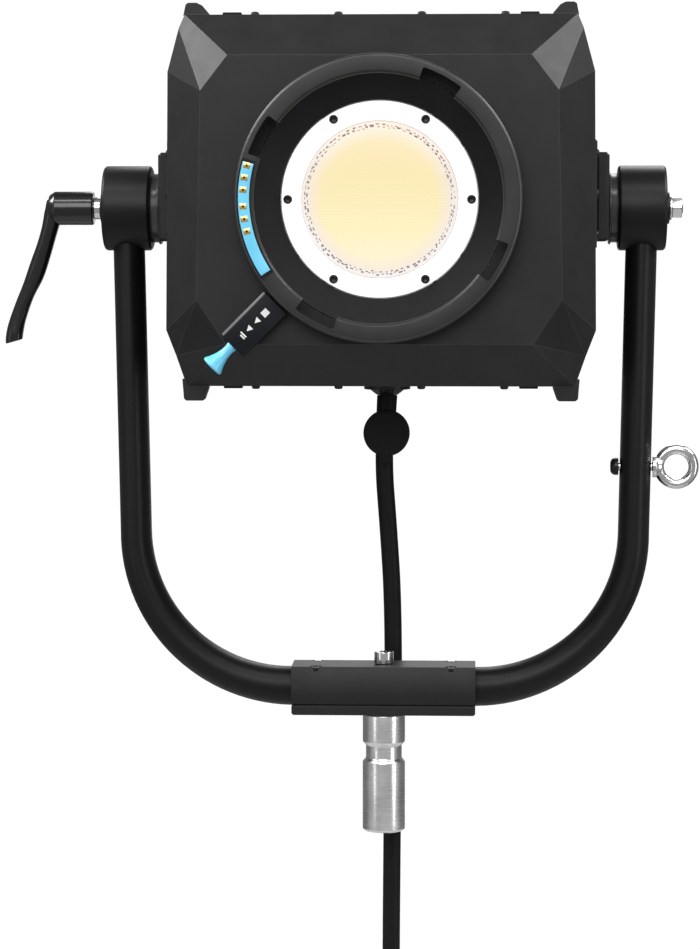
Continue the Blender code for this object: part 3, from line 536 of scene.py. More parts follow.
def add_camera():
    data = bpy.data.cameras.new("camera")
    data.sensor_width = SENSOR_WIDTH
    data.lens = SENSOR_WIDTH * FOCAL_SHARE
    data.clip_end = 60.0
    camera = linked("camera", data)
    camera.location = PIVOT + CAMERA_FROM_PIVOT
    camera.rotation_euler = (math.radians(90.0 - CAMERA_DOWN), 0.0, math.radians(CAMERA_LEFT))
    bpy.context.scene.camera = camera


def add_area(name, place, size, power):
    """A soft light that points at the tilt axis."""
    data = bpy.data.lights.new(name, "AREA")
    data.shape = "RECTANGLE"
    data.size, data.size_y = size
    data.energy = power
    light = linked(name, data)
    light.location = place
    light.rotation_euler = (PIVOT - place).to_track_quat("-Z", "Y").to_euler()


# Brightness of the surroundings, from straight in front of the object (0) to straight behind it (1).
WORLD_LEVELS = ((0.0, 0.36), (0.44, 0.34), (0.56, 0.15), (0.955, 0.15), (0.977, 1.0))
WORLD_STRENGTH = 1.04


def add_world():
    """Soft grey surroundings, with a bright patch straight behind the object."""
    world = bpy.data.worlds.new("studio")
    bpy.context.scene.world = world
    world.use_nodes = True
    tree = world.node_tree
    direction = tree.nodes.new("ShaderNodeTexCoord")
    split = tree.nodes.new("ShaderNodeSeparateXYZ")
    unit = tree.nodes.new("ShaderNodeMapRange")
    unit.inputs["From Min"].default_value = -1.0
    ramp = tree.nodes.new("ShaderNodeValToRGB")
    while len(ramp.color_ramp.elements) < len(WORLD_LEVELS):
        ramp.color_ramp.elements.new(0.5)
    for element, (position, level) in zip(ramp.color_ramp.elements, WORLD_LEVELS):
        element.position = position
        element.color = (level, level, level, 1.0)
    tree.links.new(direction.outputs["Generated"], split.inputs["Vector"])
    tree.links.new(split.outputs["Y"], unit.inputs["Value"])
    tree.links.new(unit.outputs["Result"], ramp.inputs["Fac"])
    tree.links.new(ramp.outputs["Color"], tree.nodes["Background"].inputs["Color"])
    tree.nodes["Background"].inputs["Strength"].default_value = WORLD_STRENGTH


# Each soft light's place from the tilt axis in metres, its width and height, and its power in watts.
LIGHTS = (
    ("corner_left", Vector((-0.78, -0.10, 0.62)) * 1.7, (0.75, 0.75), 33.0),
    ("corner_right", Vector((0.78, -0.10, 0.62)) * 1.7, (0.75, 0.75), 26.0),
    ("front_fill", Vector((-0.3, -3.2, 1.3)), (2.4, 1.6), 50.0),
    ("top_strip", Vector((0.0, -1.25, 1.75)), (2.2, 0.3), 16.0),
    ("side_strip_left", Vector((-1.7, -1.5, -0.3)), (0.35, 1.2), 2.0),
    ("side_strip_right", Vector((1.8, -1.1, -0.2)), (0.35, 1.4), 6.0),
    ("rear_fill", Vector((0.3, 2.3, 1.7)), (1.6, 1.2), 26.0),
)
# The floor's disc, and how far it lies below the end of the cord, in millimetres.
FLOOR_RADIUS = 550.0
FLOOR_THICK = 3.0
FLOOR_BELOW = 12.0


def add_stage():
    """Plain pale round floor, soft front light, and two soft boxes above the top corners."""
    add_world()
    bpy.context.scene.view_settings.view_transform = "Standard"
    for name, place, size, power in LIGHTS:
        add_area(name, PIVOT + place, size, power)
    g = Graph("pale_floor")
    g.join("Base Color", g.ramp(g.noise(2.0, 3.0), (0.3, (0.34, 0.34, 0.34)), (0.7, (0.37, 0.37, 0.37))))
    g.join("Roughness", 0.9)
    top = (cad_low.z - PIVOT.z) / MM - FLOOR_BELOW
    disc = rod(FLOOR_RADIUS, top - FLOOR_THICK, top, "Z", (-PIVOT.x / MM, -PIVOT.y / MM, 0.0), 128)
    mesh_object("floor", disc, "pale_floor", 35.0)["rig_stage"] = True


# ---------------------------------------------------------------- cord

CORD_RADIUS = 6.0
CORD_SIDES = 24
CORD_ROUTE = (
    (-0.4, 35.0, -153.9),
    (-0.9, 35.2, -166.0),
    (-0.6, 35.6, -182.0),
    (0.4, 36.0, -197.0),
    (1.6, 36.2, -213.0),
    (2.9, 36.2, -232.0),
    (4.0, 36.0, -250.0),
    (4.8, 35.6, -272.0),
    (5.2, 35.2, -296.0),
    (5.3, 34.8, -322.0),
    (5.2, 34.6, -350.0),
    (5.0, 34.6, -380.0),
    (4.7, 34.8, -415.0),
    (4.4, 35.0, -455.0),
    (4.1, 35.2, -500.0),
    (4.0, 35.2, -556.0),
)
# Above the first point the cord turns with the head, and below the second it stays with the yoke.
BEND_START = Vector((-0.8, 35.4, -172.0))
BEND_END = Vector((4.9, 35.4, -310.0))


def smooth_points(route, steps):
    """A Catmull-Rom curve through the route's points."""
    knots = [Vector(point) for point in route]
    knots = [2 * knots[0] - knots[1]] + knots + [2 * knots[-1] - knots[-2]]
    out = []
    for a, b, c, d in zip(knots, knots[1:], knots[2:], knots[3:]):
        for i in range(steps):
            t = i / steps
            square, cube = 2 * a - 5 * b + 4 * c - d, 3 * b - a - 3 * c + d
            out.append(0.5 * (2 * b + (c - a) * t + square * t**2 + cube * t**3))
    out.append(knots[-2])
    return out


def add_cord():
    """The jacketed cord, which bends between the tilting head and the yoke."""
    points = smooth_points(CORD_ROUTE, 6)
    turn = [2 * math.pi * k / CORD_SIDES for k in range(CORD_SIDES)]
    loops = []
    for i, point in enumerate(points):
        along = (points[min(i + 1, len(points) - 1)] - points[max(i - 1, 0)]).normalized()
        right = Vector((0.0, 1.0, 0.0)).cross(along).normalized()
        front = along.cross(right)
        loops.append([point + (right * math.cos(a) + front * math.sin(a)) * CORD_RADIUS for a in turn])
    cord = mesh_object("head_cord_jacket", loft(loops), "cord_rubber", 50.0)
    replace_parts(cord, "head_cord")
    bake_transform(cord, "head", "yoke", start=tuple(PIVOT + BEND_START * MM), end=tuple(PIVOT + BEND_END * MM))
    return cord, [PIVOT + point * MM for point in points]


GLAND_REACH = 15.75
GLAND_BASE_Z = -121.5
RELIEF_RIBS, RIB_PITCH = 5, 2.4
CONNECTOR_RIBS, CONNECTOR_RIB_PITCH = 4, 3.6
CONNECTOR_PINS, PIN_CIRCLE = 5, 6.0


def add_gland():
    """The gland's body with its dust cap's hinge, and the ribbed strain relief."""
    low, high = local_box("cable_gland")
    x, y = (low.x + high.x) / 2, (low.y + high.y) / 2
    flange = [(0.0, high.z), (GLAND_REACH, high.z), (GLAND_REACH, GLAND_BASE_Z), (11.6, GLAND_BASE_Z)]
    flange += [(10.9, GLAND_BASE_Z - 0.9), (7.0, low.z), (0.0, low.z)]
    stand_in("cable_gland", "body", turned(eased(flange, 0.7), "Z", (x, y, 0.0), 48), "black_plastic")
    hinge = Vector(JOINTS["dust_cap_swing"]["pos_m"]) / MM - PIVOT / MM
    lugs = [rod(0.8, -4.6, 4.6, "X", tuple(hinge), 16, 0.2)]
    for side in (-1, 1):
        lug = box(sorted((side * 3.3, side * 4.6)), (-1.3, 1.3), (-1.2, 3.0))
        lugs.append(moved(rounded(lug, 0.4), Matrix.Translation(hinge)))
    add_piece("cap_hinge_lugs", merged(*lugs), "black_rubber", "head")
    low, high = local_box("strain_relief")
    profile = [(0.0, high.z), (6.9, high.z)]
    for i in range(RELIEF_RIBS):
        z = high.z - 12.0 - RIB_PITCH * i
        radius = 6.7 - 0.05 * i
        profile += [(radius, z), (radius - 0.45, z - 0.3), (radius - 0.45, z - 1.0), (radius, z - 1.3)]
    profile += [(6.4, low.z), (0.0, low.z)]
    shape = turned(eased(profile, 0.3, 2), "Z", (x, y, 0.0), 32)
    # Its lower end leans over to where the cord leaves it.
    lean = Matrix.Identity(4)
    lean[0][2] = (x - CORD_ROUTE[0][0]) / (high.z - low.z)
    pin = Matrix.Translation((0.0, 0.0, high.z))
    return stand_in("strain_relief", "ribs", moved(shape, pin @ lean @ pin.inverted()), "black_rubber")


def add_connector():
    """The locking connector at the cord's end, with the contacts in its mouth."""
    low, high = local_box("cord_connector")
    x, y, top = (low.x + high.x) / 2, (low.y + high.y) / 2, high.z
    floor = low.z + 12.0
    profile = [(0.0, top), (7.4, top)]
    for i in range(CONNECTOR_RIBS):
        z = top - 3.0 - CONNECTOR_RIB_PITCH * i
        radius = 7.8 + 0.45 * i
        profile += [(radius, z), (radius, z - 2.2), (radius - 0.7, z - 2.5), (radius - 0.7, z - 3.3)]
    profile += [(11.6, top - 19.5), (11.6, top - 38.0), (14.4, top - 40.0)]
    profile += [(14.4, low.z), (11.6, low.z), (11.6, floor), (0.0, floor)]
    shell = turned(eased(profile, 0.5, 2), "Z", (x, y, 0.0), 48)
    connector = stand_in("cord_connector", "body", shell, "black_plastic")
    pins = []
    for i in range(CONNECTOR_PINS):
        angle = math.radians(360 / CONNECTOR_PINS * i + 18)
        place = (x + PIN_CIRCLE * math.cos(angle), y + PIN_CIRCLE * math.sin(angle), 0.0)
        pins.append(rod(1.0, low.z + 3.0, floor + 0.5, "Z", place, 12, 0.3))
    contacts = add_piece("cord_connector_pins", merged(*pins), "gold_contact", "yoke")
    return connector, contacts


# ---------------------------------------------------------------- head

# The middles of the gaps that let an accessory's flange in, in degrees from the right, and their half width.
GAP_MIDDLES, GAP_HALF = (62.0, 152.0, 242.0, 332.0), 9.0


def add_mount_ring():
    """The bayonet ring: a deep rim, four lugs with eased ends, and the insertion gaps between them."""
    low, high = local_box("mount_ring")
    rim = low.y
    lug = rim + 3.6
    radius = high.x
    profile = [
        (77.5, rim + 1.5),
        (79.0, rim),
        (radius - 1.9, rim),
        (radius - 1.0, rim + 0.6),
        (radius, rim + 1.6),
        (radius, high.y),
        (80.0, high.y),
        (80.0, high.y - 3.5),
        (86.2, high.y - 3.5),
        (86.2, lug),
        (77.5, lug),
    ]
    ring = turned(eased(profile, 0.55), "Y", CENTRE, 144)
    gaps = []
    for middle in GAP_MIDDLES:
        outline = sector(70.0, 85.7, middle - GAP_HALF, middle + GAP_HALF, 8)
        gaps.append(rounded(prism(outline, rim - 2.0, lug + 1.5), 1.6, 3, 50.0))
    ring = bmesh_boolean(ring, moved(merged(*gaps), Matrix.Translation(CENTRE)), "DIFFERENCE")
    piece = stand_in("mount_ring", "body", ring, "ring_paint")
    # The ring's faces set back from its front, inside the rim, take the dish's darker material: painted shade
    # in the recesses and the insertion gaps.
    piece.data.materials.append(MATERIALS["dish_black_and_recess_shade"])
    for face in piece.data.polygons:
        place = (face.center - PIVOT) / MM
        if place.y > rim + 1.7 and math.hypot(place.x, place.z - LAMP_Z) < 86.8:
            face.material_index = 1
    # A lighter strip round the rim's outer edge: a painted highlight.
    edge = [(radius - 1.75, rim - 0.03), (radius - 1.0, rim + 0.42)]
    edge += [(radius - 1.2, rim + 0.8), (radius - 2.0, rim + 0.3)]
    add_piece("mount_ring_rim_highlight", turned(edge, "Y", CENTRE, 144), "painted_edge_highlight", "head")


CONTACT_ANGLES = (165.9, 171.1, 176.3, 183.3, 188.7, 194.0)
CONTACT_CIRCLE = 84.0


def add_contacts():
    """The cyan strip on a dark seat, and the six gold contacts in it."""
    low, high = local_box("contact_strip")
    outline = sector(80.0, 87.0, 164.5, 213.4, 40)
    strip = moved(rounded(prism(outline, low.y, high.y), 0.35, 2, 50.0), Matrix.Translation(CENTRE))
    stand_in("contact_strip", "body", strip, "cyan_plastic")
    seat = prism(sector(79.0, 88.0, 163.2, 214.6, 40), low.y + 0.15, high.y + 0.2)
    add_piece("contact_seat", moved(seat, Matrix.Translation(CENTRE)), "latch_black", "head")
    pads, pins = [], []
    for angle in CONTACT_ANGLES:
        a = math.radians(angle)
        place = Matrix.Translation((CONTACT_CIRCLE * math.cos(a), 0.0, LAMP_Z + CONTACT_CIRCLE * math.sin(a)))
        spin = Matrix.Rotation(-a, 4, "Y")
        pad = rounded(box((-2.2, 2.2), (low.y - 0.12, low.y + 0.3), (-1.9, 1.9)), 0.5, 2)
        pads.append(moved(pad, place @ spin))
        pins.append(moved(rod(0.85, low.y - 0.22, low.y + 0.2, sides=16, chamfer=0.15), place))
    add_piece("contact_pads", merged(*pads), "gold_contact", "head")
    add_piece("contact_pins", merged(*pins), "black_steel", "head")


DISH = [(79.5, -111.2), (79.5, -108.7), (62.5, -97.9), (62.5, -100.5), (72.0, -106.6)]
SCREW_CIRCLE = 57.8
RETAINER_INNER = 49.75


def add_lamp():
    """The dark dish, the white retainer with its six screws, and the lit disc behind the lens."""
    stand_in("inner_baffle", "dish", turned(DISH, "Y", CENTRE, 128), "dish_black_and_recess_shade")
    low, high = local_box("lens_retainer")
    ring = [(RETAINER_INNER, low.y + 0.8), (RETAINER_INNER + 2.4, low.y), (high.x, low.y)]
    ring = turned(eased(ring + [(high.x, high.y), (RETAINER_INNER, high.y)], 0.5), "Y", CENTRE, 128)
    holes = []
    for i in range(6):
        angle = math.radians(60 * i)
        place = (SCREW_CIRCLE * math.cos(angle), 0.0, LAMP_Z + SCREW_CIRCLE * math.sin(angle))
        holes.append(rod(1.9, low.y - 1.0, high.y + 1.0, "Y", place, 24))
        face = low.y - GAP
        screw = [(0.0, face - 1.0), (1.25, face - 1.0), (1.25, face - 1.75), (2.2, face - 1.9)]
        screw += [(2.85, face - 1.0), (2.85, face), (1.5, face), (1.5, high.y + 1.5), (0.0, high.y + 1.5)]
        shape = turned(eased(screw, 0.25, 2), "Y", place, 28)
        stand_in(f"retainer_screw_{i + 1}", "head", shape, "black_steel")
    stand_in("lens_retainer", "ring", bmesh_boolean(ring, merged(*holes), "DIFFERENCE"), "white_plastic")
    low, high = local_box("cob_led")
    led = turned(eased([(0.0, low.y), (40.5, low.y), (40.5, high.y), (0.0, high.y)], 0.4), "Y", CENTRE, 96)
    stand_in("cob_led", "disc", led, "lit_phosphor")


LENS_FRONT = local_box("cob_lens")[0].y
LENS_REACH = 49.2
LENS_SAG = 2.6
LENS_STEPS = 14
DIMPLED_REACH = 45.0
DIMPLE_PITCH = 1.9
DIMPLE_LIFT, SEAM_LIFT = 0.33, 0.04
MARK_SEED = 7


def lens_depth(reach):
    """The Y of the lens's dome, this far from its axis."""
    return LENS_FRONT + 0.35 + LENS_SAG * (reach / LENS_REACH) ** 2.4


def lens_point(bm, points, x, z, lift, light):
    """The vertex at this place on the dome, made only once."""
    key = (round(x, 2), round(z, 2))
    if key not in points:
        points[key] = bm.verts.new((x, lens_depth(math.hypot(x, z)) - lift, z + LAMP_Z))
        points[key][bm.verts.layers.float["glow"]] = light
    return points[key]


def lens_skin():
    """A sheet of hexagonal dimples that follows the dome, brightest in the middle of each."""
    bm = bmesh.new()
    bm.verts.layers.float.new("glow")
    points = {}
    row_step = DIMPLE_PITCH * math.sqrt(3.0) / 2
    rows = int(DIMPLED_REACH / row_step)
    columns = int(DIMPLED_REACH / DIMPLE_PITCH) + 3
    corners = hexagon(DIMPLE_PITCH, 30.0)
    for row in range(-rows, rows + 1):
        shift = DIMPLE_PITCH / 2 if row % 2 else 0.0
        for column in range(-columns, columns + 1):
            x, z = column * DIMPLE_PITCH + shift, row * row_step
            if math.hypot(x, z) > DIMPLED_REACH:
                continue
            middle = lens_point(bm, points, x, z, DIMPLE_LIFT, 1.0)
            rim = [lens_point(bm, points, x + a, z + b, SEAM_LIFT, 0.0) for a, b in corners]
            for a, b in zip(rim, rim[1:] + rim[:1]):
                bm.faces.new((middle, a, b))
    bmesh.ops.recalc_face_normals(bm, faces=bm.faces)
    bmesh.ops.solidify(bm, geom=bm.faces[:], thickness=0.2)
    return bm


def add_lens():
    """The dimpled silicone lens: a dome, its skin of dimples, and marks moulded round its rim."""
    profile = []
    for i in range(LENS_STEPS + 1):
        reach = LENS_REACH * i / LENS_STEPS
        profile.append((reach, lens_depth(reach)))
    back = local_box("cob_lens")[1].y
    profile += [(LENS_REACH, back), (0.0, back)]
    stand_in("cob_lens", "dome", turned(profile, "Y", CENTRE, 96), "lit_silicone")
    add_piece("cob_lens_dimples", lens_skin(), "lit_silicone", "head", 60.0)
    draw = random.Random(MARK_SEED)
    marks = []
    for start, reach in ((0.0, 45.2), (1.0, 46.6)):
        angle = start
        while angle < 357.0:
            width = draw.uniform(1.0, 3.2)
            inner = reach + draw.uniform(-0.5, 0.5)
            outline = sector(inner, inner + draw.uniform(0.35, 1.1), angle, angle + width, 2)
            depth = lens_depth(inner)
            marks.append(prism(outline, depth - 0.4, depth + 0.4))
            angle += width + draw.uniform(0.9, 3.4)
    marks = moved(merged(*marks), Matrix.Translation(CENTRE))
    add_piece("cob_lens_marks", marks, "lens_mark", "head")


COVER_SCREWS_X = (-80.0, -27.0, 26.0, 79.0)
# The bezel's rim and the rear of the covers, along Y; the rim's own top and bottom.
RIM_Y, COVER_REAR_Y = -76.0, 80.0
RIM_TOP, RIM_BOTTOM = 121.3, -114.6
PAD_X = 94.5
RAIL_SCREWS_Y, RAIL_SCREWS_Z = (-52.0, 52.0), (-18.0, 8.0, 34.0)


def add_case_details():
    """Cover screws, low pads, and the seam screws of the side rails."""
    screws, pads = [], []
    button = [(0.0, -0.5), (2.7, -0.5), (2.7, 0.9), (2.0, 1.9), (1.3, 2.0), (1.3, 1.2), (0.0, 1.2)]
    covers = ((1, local_box("top_cover")[1].z, RIM_TOP), (-1, local_box("bottom_cover")[0].z, RIM_BOTTOM))
    for side, cover, edge in covers:
        for x in COVER_SCREWS_X:
            for y, base in ((RIM_Y, edge), (COVER_REAR_Y, cover)):
                shape = turned(eased(button, 0.25, 2), "Z", sides=20)
                if side < 0:
                    moved(shape, Matrix.Scale(-1.0, 4, (0.0, 0.0, 1.0)))
                screws.append(moved(shape, Matrix.Translation((x, y, base))))
        for x in (-PAD_X, PAD_X):
            low, high = sorted((edge - side * 0.4, edge + side * 1.5))
            pads.append(rounded(box((x - 6.0, x + 6.0), (-79.0, -72.5), (low, high)), 0.7, 3))
    add_piece("cover_screws", merged(*screws), "black_steel", "head")
    add_piece("cover_pads", merged(*pads), "black_rubber", "head")
    heads = []
    cap = [(0.0, 0.0), (3.0, 0.0), (3.0, 1.0), (2.0, 1.8), (1.3, 1.8), (1.3, 0.9), (0.0, 0.9)]
    face = Matrix.Translation((local_box("side_rail_right")[1].x - 0.2, 0.0, 0.0))
    for side in (-1, 1):
        for y in RAIL_SCREWS_Y:
            for z in RAIL_SCREWS_Z:
                shape = moved(turned(eased(cap, 0.2, 2), "X", (0.0, y, z), 20), face)
                heads.append(moved(shape, Matrix.Scale(side, 4, (1.0, 0.0, 0.0))))
    add_piece("rail_screws", merged(*heads), "black_steel", "head")


# The latch is drawn along X from the lamp's axis, then turned to where it lies, down to the left.
LATCH_SPIN = Matrix.Translation(CENTRE) @ Matrix.Rotation(-math.radians(225.0), 4, "Y")
LATCH_HALF = 10.0
ARROWS_X = (107.0, 114.0)
# The X and Z spans of the square and the two bars.
MARK_SPANS = (((98.0, 102.5), (-2.0, 2.2)), ((119.0, 120.0), (-2.4, 2.4)), ((120.5, 121.5), (-1.2, 2.4)))


def add_latch():
    """Latch bar with a painted highlight strip along one edge, generic marks, and the trumpet-shaped pull."""
    low, high = local_box("latch_housing")
    front, back = low.y, high.y
    middle = (front + back) / 2
    bar = rounded(box((91.0, 129.5), (front, back), (-LATCH_HALF, LATCH_HALF)), 0.9, 3)
    bar = bmesh_boolean(bar, rod(2.6, 101.0, 140.0, "X", (0.0, middle, 0.0), 24), "DIFFERENCE")
    stand_in("latch_housing", "bar", moved(bar, LATCH_SPIN), "latch_black")
    # A lighter grey strip along one edge of the bar: a painted highlight.
    strip = box((91.5, 129.0), (front - 0.05, front + 1.0), (-LATCH_HALF + 0.2, -LATCH_HALF + 1.9))
    add_piece("latch_edge_highlight", moved(rounded(strip, 0.3, 2), LATCH_SPIN), "painted_latch_highlight", "head")
    marks = []
    for x in ARROWS_X:
        arrow = [(x + 2.6, 0.0), (x - 1.2, 2.0), (x - 1.2, -2.0)]
        marks.append(prism(arrow, front - 0.03, front + 0.2))
    for x, z in MARK_SPANS:
        marks.append(box(x, (front - 0.03, front + 0.2), z))
    add_piece("latch_marks", moved(merged(*marks), LATCH_SPIN), "print_white", "head")
    knob = [(0.0, 107.0), (2.2, 107.0), (2.2, 129.8), (3.6, 129.8), (3.1, 133.0), (3.3, 136.5), (4.1, 140.0)]
    knob += [(5.6, 144.0), (7.0, 146.6), (7.3, 147.6), (6.6, 148.5), (0.0, 148.5)]
    shape = turned(eased(knob, 0.5, 2), "X", (0.0, middle, 0.0), 40)
    stand_in("latch_knob", "pull", moved(shape, LATCH_SPIN), "cyan_plastic")


CAP_REACH = 15.6


def add_dust_cap():
    """The cap's dished disc, with the strap above it and the finger tab below."""
    low, high = local_box("dust_cap")
    x = (low.x + high.x) / 2
    front = low.y
    centre_z = low.z + 4.5 + CAP_REACH
    disc = [(0.0, front + 0.4), (11.0, front + 0.4), (12.0, front), (CAP_REACH, front)]
    disc += [(CAP_REACH, front + 6.0), (14.0, front + 6.0), (14.0, front + 2.4), (0.0, front + 2.4)]
    disc = turned(eased(disc, 0.5), "Y", (x, 0.0, centre_z), 56)
    strap = rounded(box((x - 2.95, x + 2.95), (front + 0.4, front + 3.0), (centre_z + 12.6, high.z)), 0.6, 2)
    tab = rounded(box((x - 4.0, x + 4.0), (front + 0.4, front + 3.0), (low.z, centre_z - 12.6)), 0.9, 2)
    body = bmesh_boolean(bmesh_boolean(disc, strap, "UNION"), tab, "UNION")
    stand_in("dust_cap", "body", body, "black_rubber")


# ---------------------------------------------------------------- yoke

SIDES = ((-1, "left"), (1, "right"))
HUB = [(4.6, 154.0), (26.5, 154.0), (28.0, 155.2), (28.0, 184.0), (26.8, 185.5), (4.6, 185.5)]
DISC = [(4.6, 147.8), (23.4, 147.8), (24.0, 148.3), (24.0, 149.2), (22.8, 149.5), (22.8, 153.7), (4.6, 153.7)]


def flipped(profile, side):
    return [(radius, side * height) for radius, height in profile]


def add_tilt_joint():
    """On each side, the yoke's round hub and the head's friction disc inside it."""
    for side, name in SIDES:
        hub = turned(flipped(eased(HUB, 0.6), side), "X", sides=96)
        stand_in(f"yoke_hub_{name}", "body", hub, "black_tube")
        disc = turned(flipped(eased(DISC, 0.25, 2), side), "X", sides=80)
        stand_in(f"friction_disc_{name}", "body", disc, "satin_grey")


# The middle line of an arm's tube: straight down from the hub, round a quarter turn, and along the crossbar.
ARM_TOP, ARM_FOOT, BEND_CENTRE = Vector((169.9, -20.0)), Vector((166.0, -215.0)), Vector((62.0, -215.0))
ARM_END_X = 61.2
STRAIGHT_STEPS, BEND_STEPS = 8, 30
TUBE_SIDES = 48
HUB_BORE, EYE_BORE = 28.25, 3.4
EYE_BOLT_Z = -171.0


def tube_section(centre, along, width, depth):
    """An oval across the tube, which runs along the X-Z plane."""
    outward = Vector((-along[1], 0.0, along[0])) * (width / 2)
    forward = Vector((0.0, depth / 2, 0.0))
    place = Vector((centre[0], 0.0, centre[1]))
    turn = [2 * math.pi * i / TUBE_SIDES for i in range(TUBE_SIDES)]
    return [place + outward * math.cos(a) + forward * math.sin(a) for a in turn]


def arm_stations():
    """Points on the tube's middle line, each with the way that it runs there."""
    reach = ARM_FOOT.x - BEND_CENTRE.x
    run = (ARM_FOOT - ARM_TOP).normalized()
    stations = [(ARM_TOP.lerp(ARM_FOOT, i / STRAIGHT_STEPS), run) for i in range(STRAIGHT_STEPS)]
    for i in range(BEND_STEPS):
        angle = math.radians(-90.0 * i / BEND_STEPS)
        out = Vector((math.cos(angle), math.sin(angle)))
        stations.append((BEND_CENTRE + out * reach, Vector((out[1], -out[0]))))
    return stations + [(Vector((ARM_END_X, BEND_CENTRE.y - reach)), Vector((-1.0, 0.0)))]


def add_yoke_arms():
    """Each arm's bent tube, which turns from a deep oval at the hub into a flatter one at the crossbar."""
    for side, name in SIDES:
        loops = []
        for i, (centre, along) in enumerate(arm_stations()):
            share = max(0.0, (i - STRAIGHT_STEPS) / BEND_STEPS)
            loops.append(tube_section(centre, along, 20.8 + 5.4 * share, 32.0 - 7.0 * share))
        arm = moved(loft(loops), Matrix.Scale(side, 4, (1.0, 0.0, 0.0)))
        arm = bmesh_boolean(arm, rod(HUB_BORE, -210.0, 210.0, "X", sides=96), "DIFFERENCE")
        if side > 0:
            bore = rod(EYE_BORE, 140.0, 190.0, "X", (0.0, 0.0, EYE_BOLT_Z), 24)
            arm = bmesh_boolean(arm, bore, "DIFFERENCE")
        stand_in(f"yoke_arm_{name}", "tube", arm, "black_tube")


CLAMP_SEAT_Z = -308.0
PIN_REACH, PIN_NECK = 14.3, 12.1


def add_clamp_parts():
    """The clamp's socket screws, large and small, and the grooved stand pin."""
    for i in range(4):
        low, high = local_box(f"clamp_screw_{i + 1}")
        place = ((low.x + high.x) / 2, (low.y + high.y) / 2, 0.0)
        screw = [(0.0, low.z), (2.0, low.z), (2.0, CLAMP_SEAT_Z), (3.5, CLAMP_SEAT_Z)]
        screw += [(3.5, high.z), (0.0, high.z)]
        socket = moved(prism(hexagon(3.0), high.z - 2.2, high.z + 1.0, "Z"), Matrix.Translation(place))
        shape = bmesh_boolean(turned(eased(screw, 0.3, 2), "Z", place, 32), socket, "DIFFERENCE")
        stand_in(f"clamp_screw_{i + 1}", "head", shape, "black_steel")
    low, high = local_box("pin_screw")
    seat = high.z - 8.0
    screw = [(0.0, low.z), (4.0, low.z), (4.0, seat), (6.5, seat), (6.5, high.z), (0.0, high.z)]
    socket = prism(hexagon(6.0), high.z - 4.4, high.z + 1.0, "Z")
    shape = bmesh_boolean(turned(eased(screw, 0.5), "Z", sides=48), socket, "DIFFERENCE")
    stand_in("pin_screw", "head", shape, "bright_steel")
    low, high = local_box("stand_pin")
    base, top = low.z, high.z
    pin = [(0.0, base), (PIN_REACH - 1.5, base), (PIN_REACH, base + 1.5), (PIN_REACH, base + 47.0)]
    pin += [(PIN_NECK, base + 49.5), (PIN_NECK, base + 58.0), (PIN_REACH, base + 60.5)]
    pin += [(PIN_REACH, top - 1.0), (PIN_REACH - 1.0, top), (4.5, top), (4.5, top - 24.0), (0.0, top - 24.0)]
    stand_in("stand_pin", "body", turned(eased(pin, 0.4), "Z", sides=96), "turned_steel")


WASHERS = {
    "pivot_washer_black": "black_plastic",
    "pivot_washer_steel": "bright_steel",
    "lever_washer": "black_plastic",
}
WASHER_BORE = 4.6
BOLT_REACH, THREAD_ROOT, THREAD_PITCH, THREAD_START = 4.0, 3.55, 1.25, 186.5


def add_pivot_fasteners():
    """The washers, the nut with its domed face, and the bolt with its thread as rings."""
    for node, look in WASHERS.items():
        low, high = local_box(node)
        ring = [(WASHER_BORE, low.x), (high.z, low.x), (high.z, high.x), (WASHER_BORE, high.x)]
        stand_in(node, "ring", turned(eased(ring, 0.35), "X", sides=56), look)
    low, high = local_box("pivot_nut")
    nut = rounded(prism(hexagon(13.0), low.x, high.x, "X"), 0.4, 2)
    dome = [(0.0, low.x - 1.0), (7.6, low.x - 1.0), (7.6, high.x - 1.0), (6.3, high.x), (0.0, high.x)]
    nut = bmesh_boolean(nut, turned(dome, "X", sides=48), "INTERSECT")
    nut = bmesh_boolean(nut, rod(4.35, low.x - 2.0, high.x + 2.0, "X", sides=32), "DIFFERENCE")
    stand_in("pivot_nut", "body", nut, "bright_steel")
    low, high = local_box("pivot_bolt")
    thread = [(0.0, low.x), (BOLT_REACH, low.x), (BOLT_REACH, THREAD_START - 0.5)]
    x = THREAD_START
    while x < high.x - 1.4:
        thread += [(BOLT_REACH, x), (THREAD_ROOT, x + 0.6)]
        x += THREAD_PITCH
    thread += [(BOLT_REACH, high.x - 0.8), (3.3, high.x), (0.0, high.x)]
    stand_in("pivot_bolt", "thread", turned(thread, "X", sides=32), "bright_steel")


EYE_X, EYE_RADIUS, EYE_WIRE, WIRE_SIDES = 194.0, 11.5, 3.4, 20
SHANK = [(0.0, 152.6), (2.9, 152.6), (2.9, 178.2), (7.3, 178.2)]
SHANK += [(7.3, 180.6), (6.0, 182.2), (5.0, 184.4), (0.0, 184.4)]
CAP_NUT = [(3.2, 155.6), (5.8, 155.6), (5.8, 153.4), (5.4, 152.0), (4.4, 150.9), (3.2, 150.4)]


def add_eye_bolt():
    """The safety eye on its flanged shank, and the domed nut inside the arm."""
    turn = [2 * math.pi * i / WIRE_SIDES for i in range(WIRE_SIDES)]
    wire = [(EYE_RADIUS + EYE_WIRE * math.cos(a), EYE_WIRE * math.sin(a)) for a in turn]
    eye = turned(wire, "Y", (EYE_X, 0.0, EYE_BOLT_Z), 72)
    place = (0.0, 0.0, EYE_BOLT_Z)
    shank = turned(eased(SHANK, 0.35), "X", place, 40)
    stand_in("eye_bolt", "body", bmesh_boolean(eye, shank, "UNION"), "bright_steel")
    stand_in("eye_bolt_nut", "cap", turned(CAP_NUT, "X", place, 40), "black_steel")


COLLAR_X = -188.4
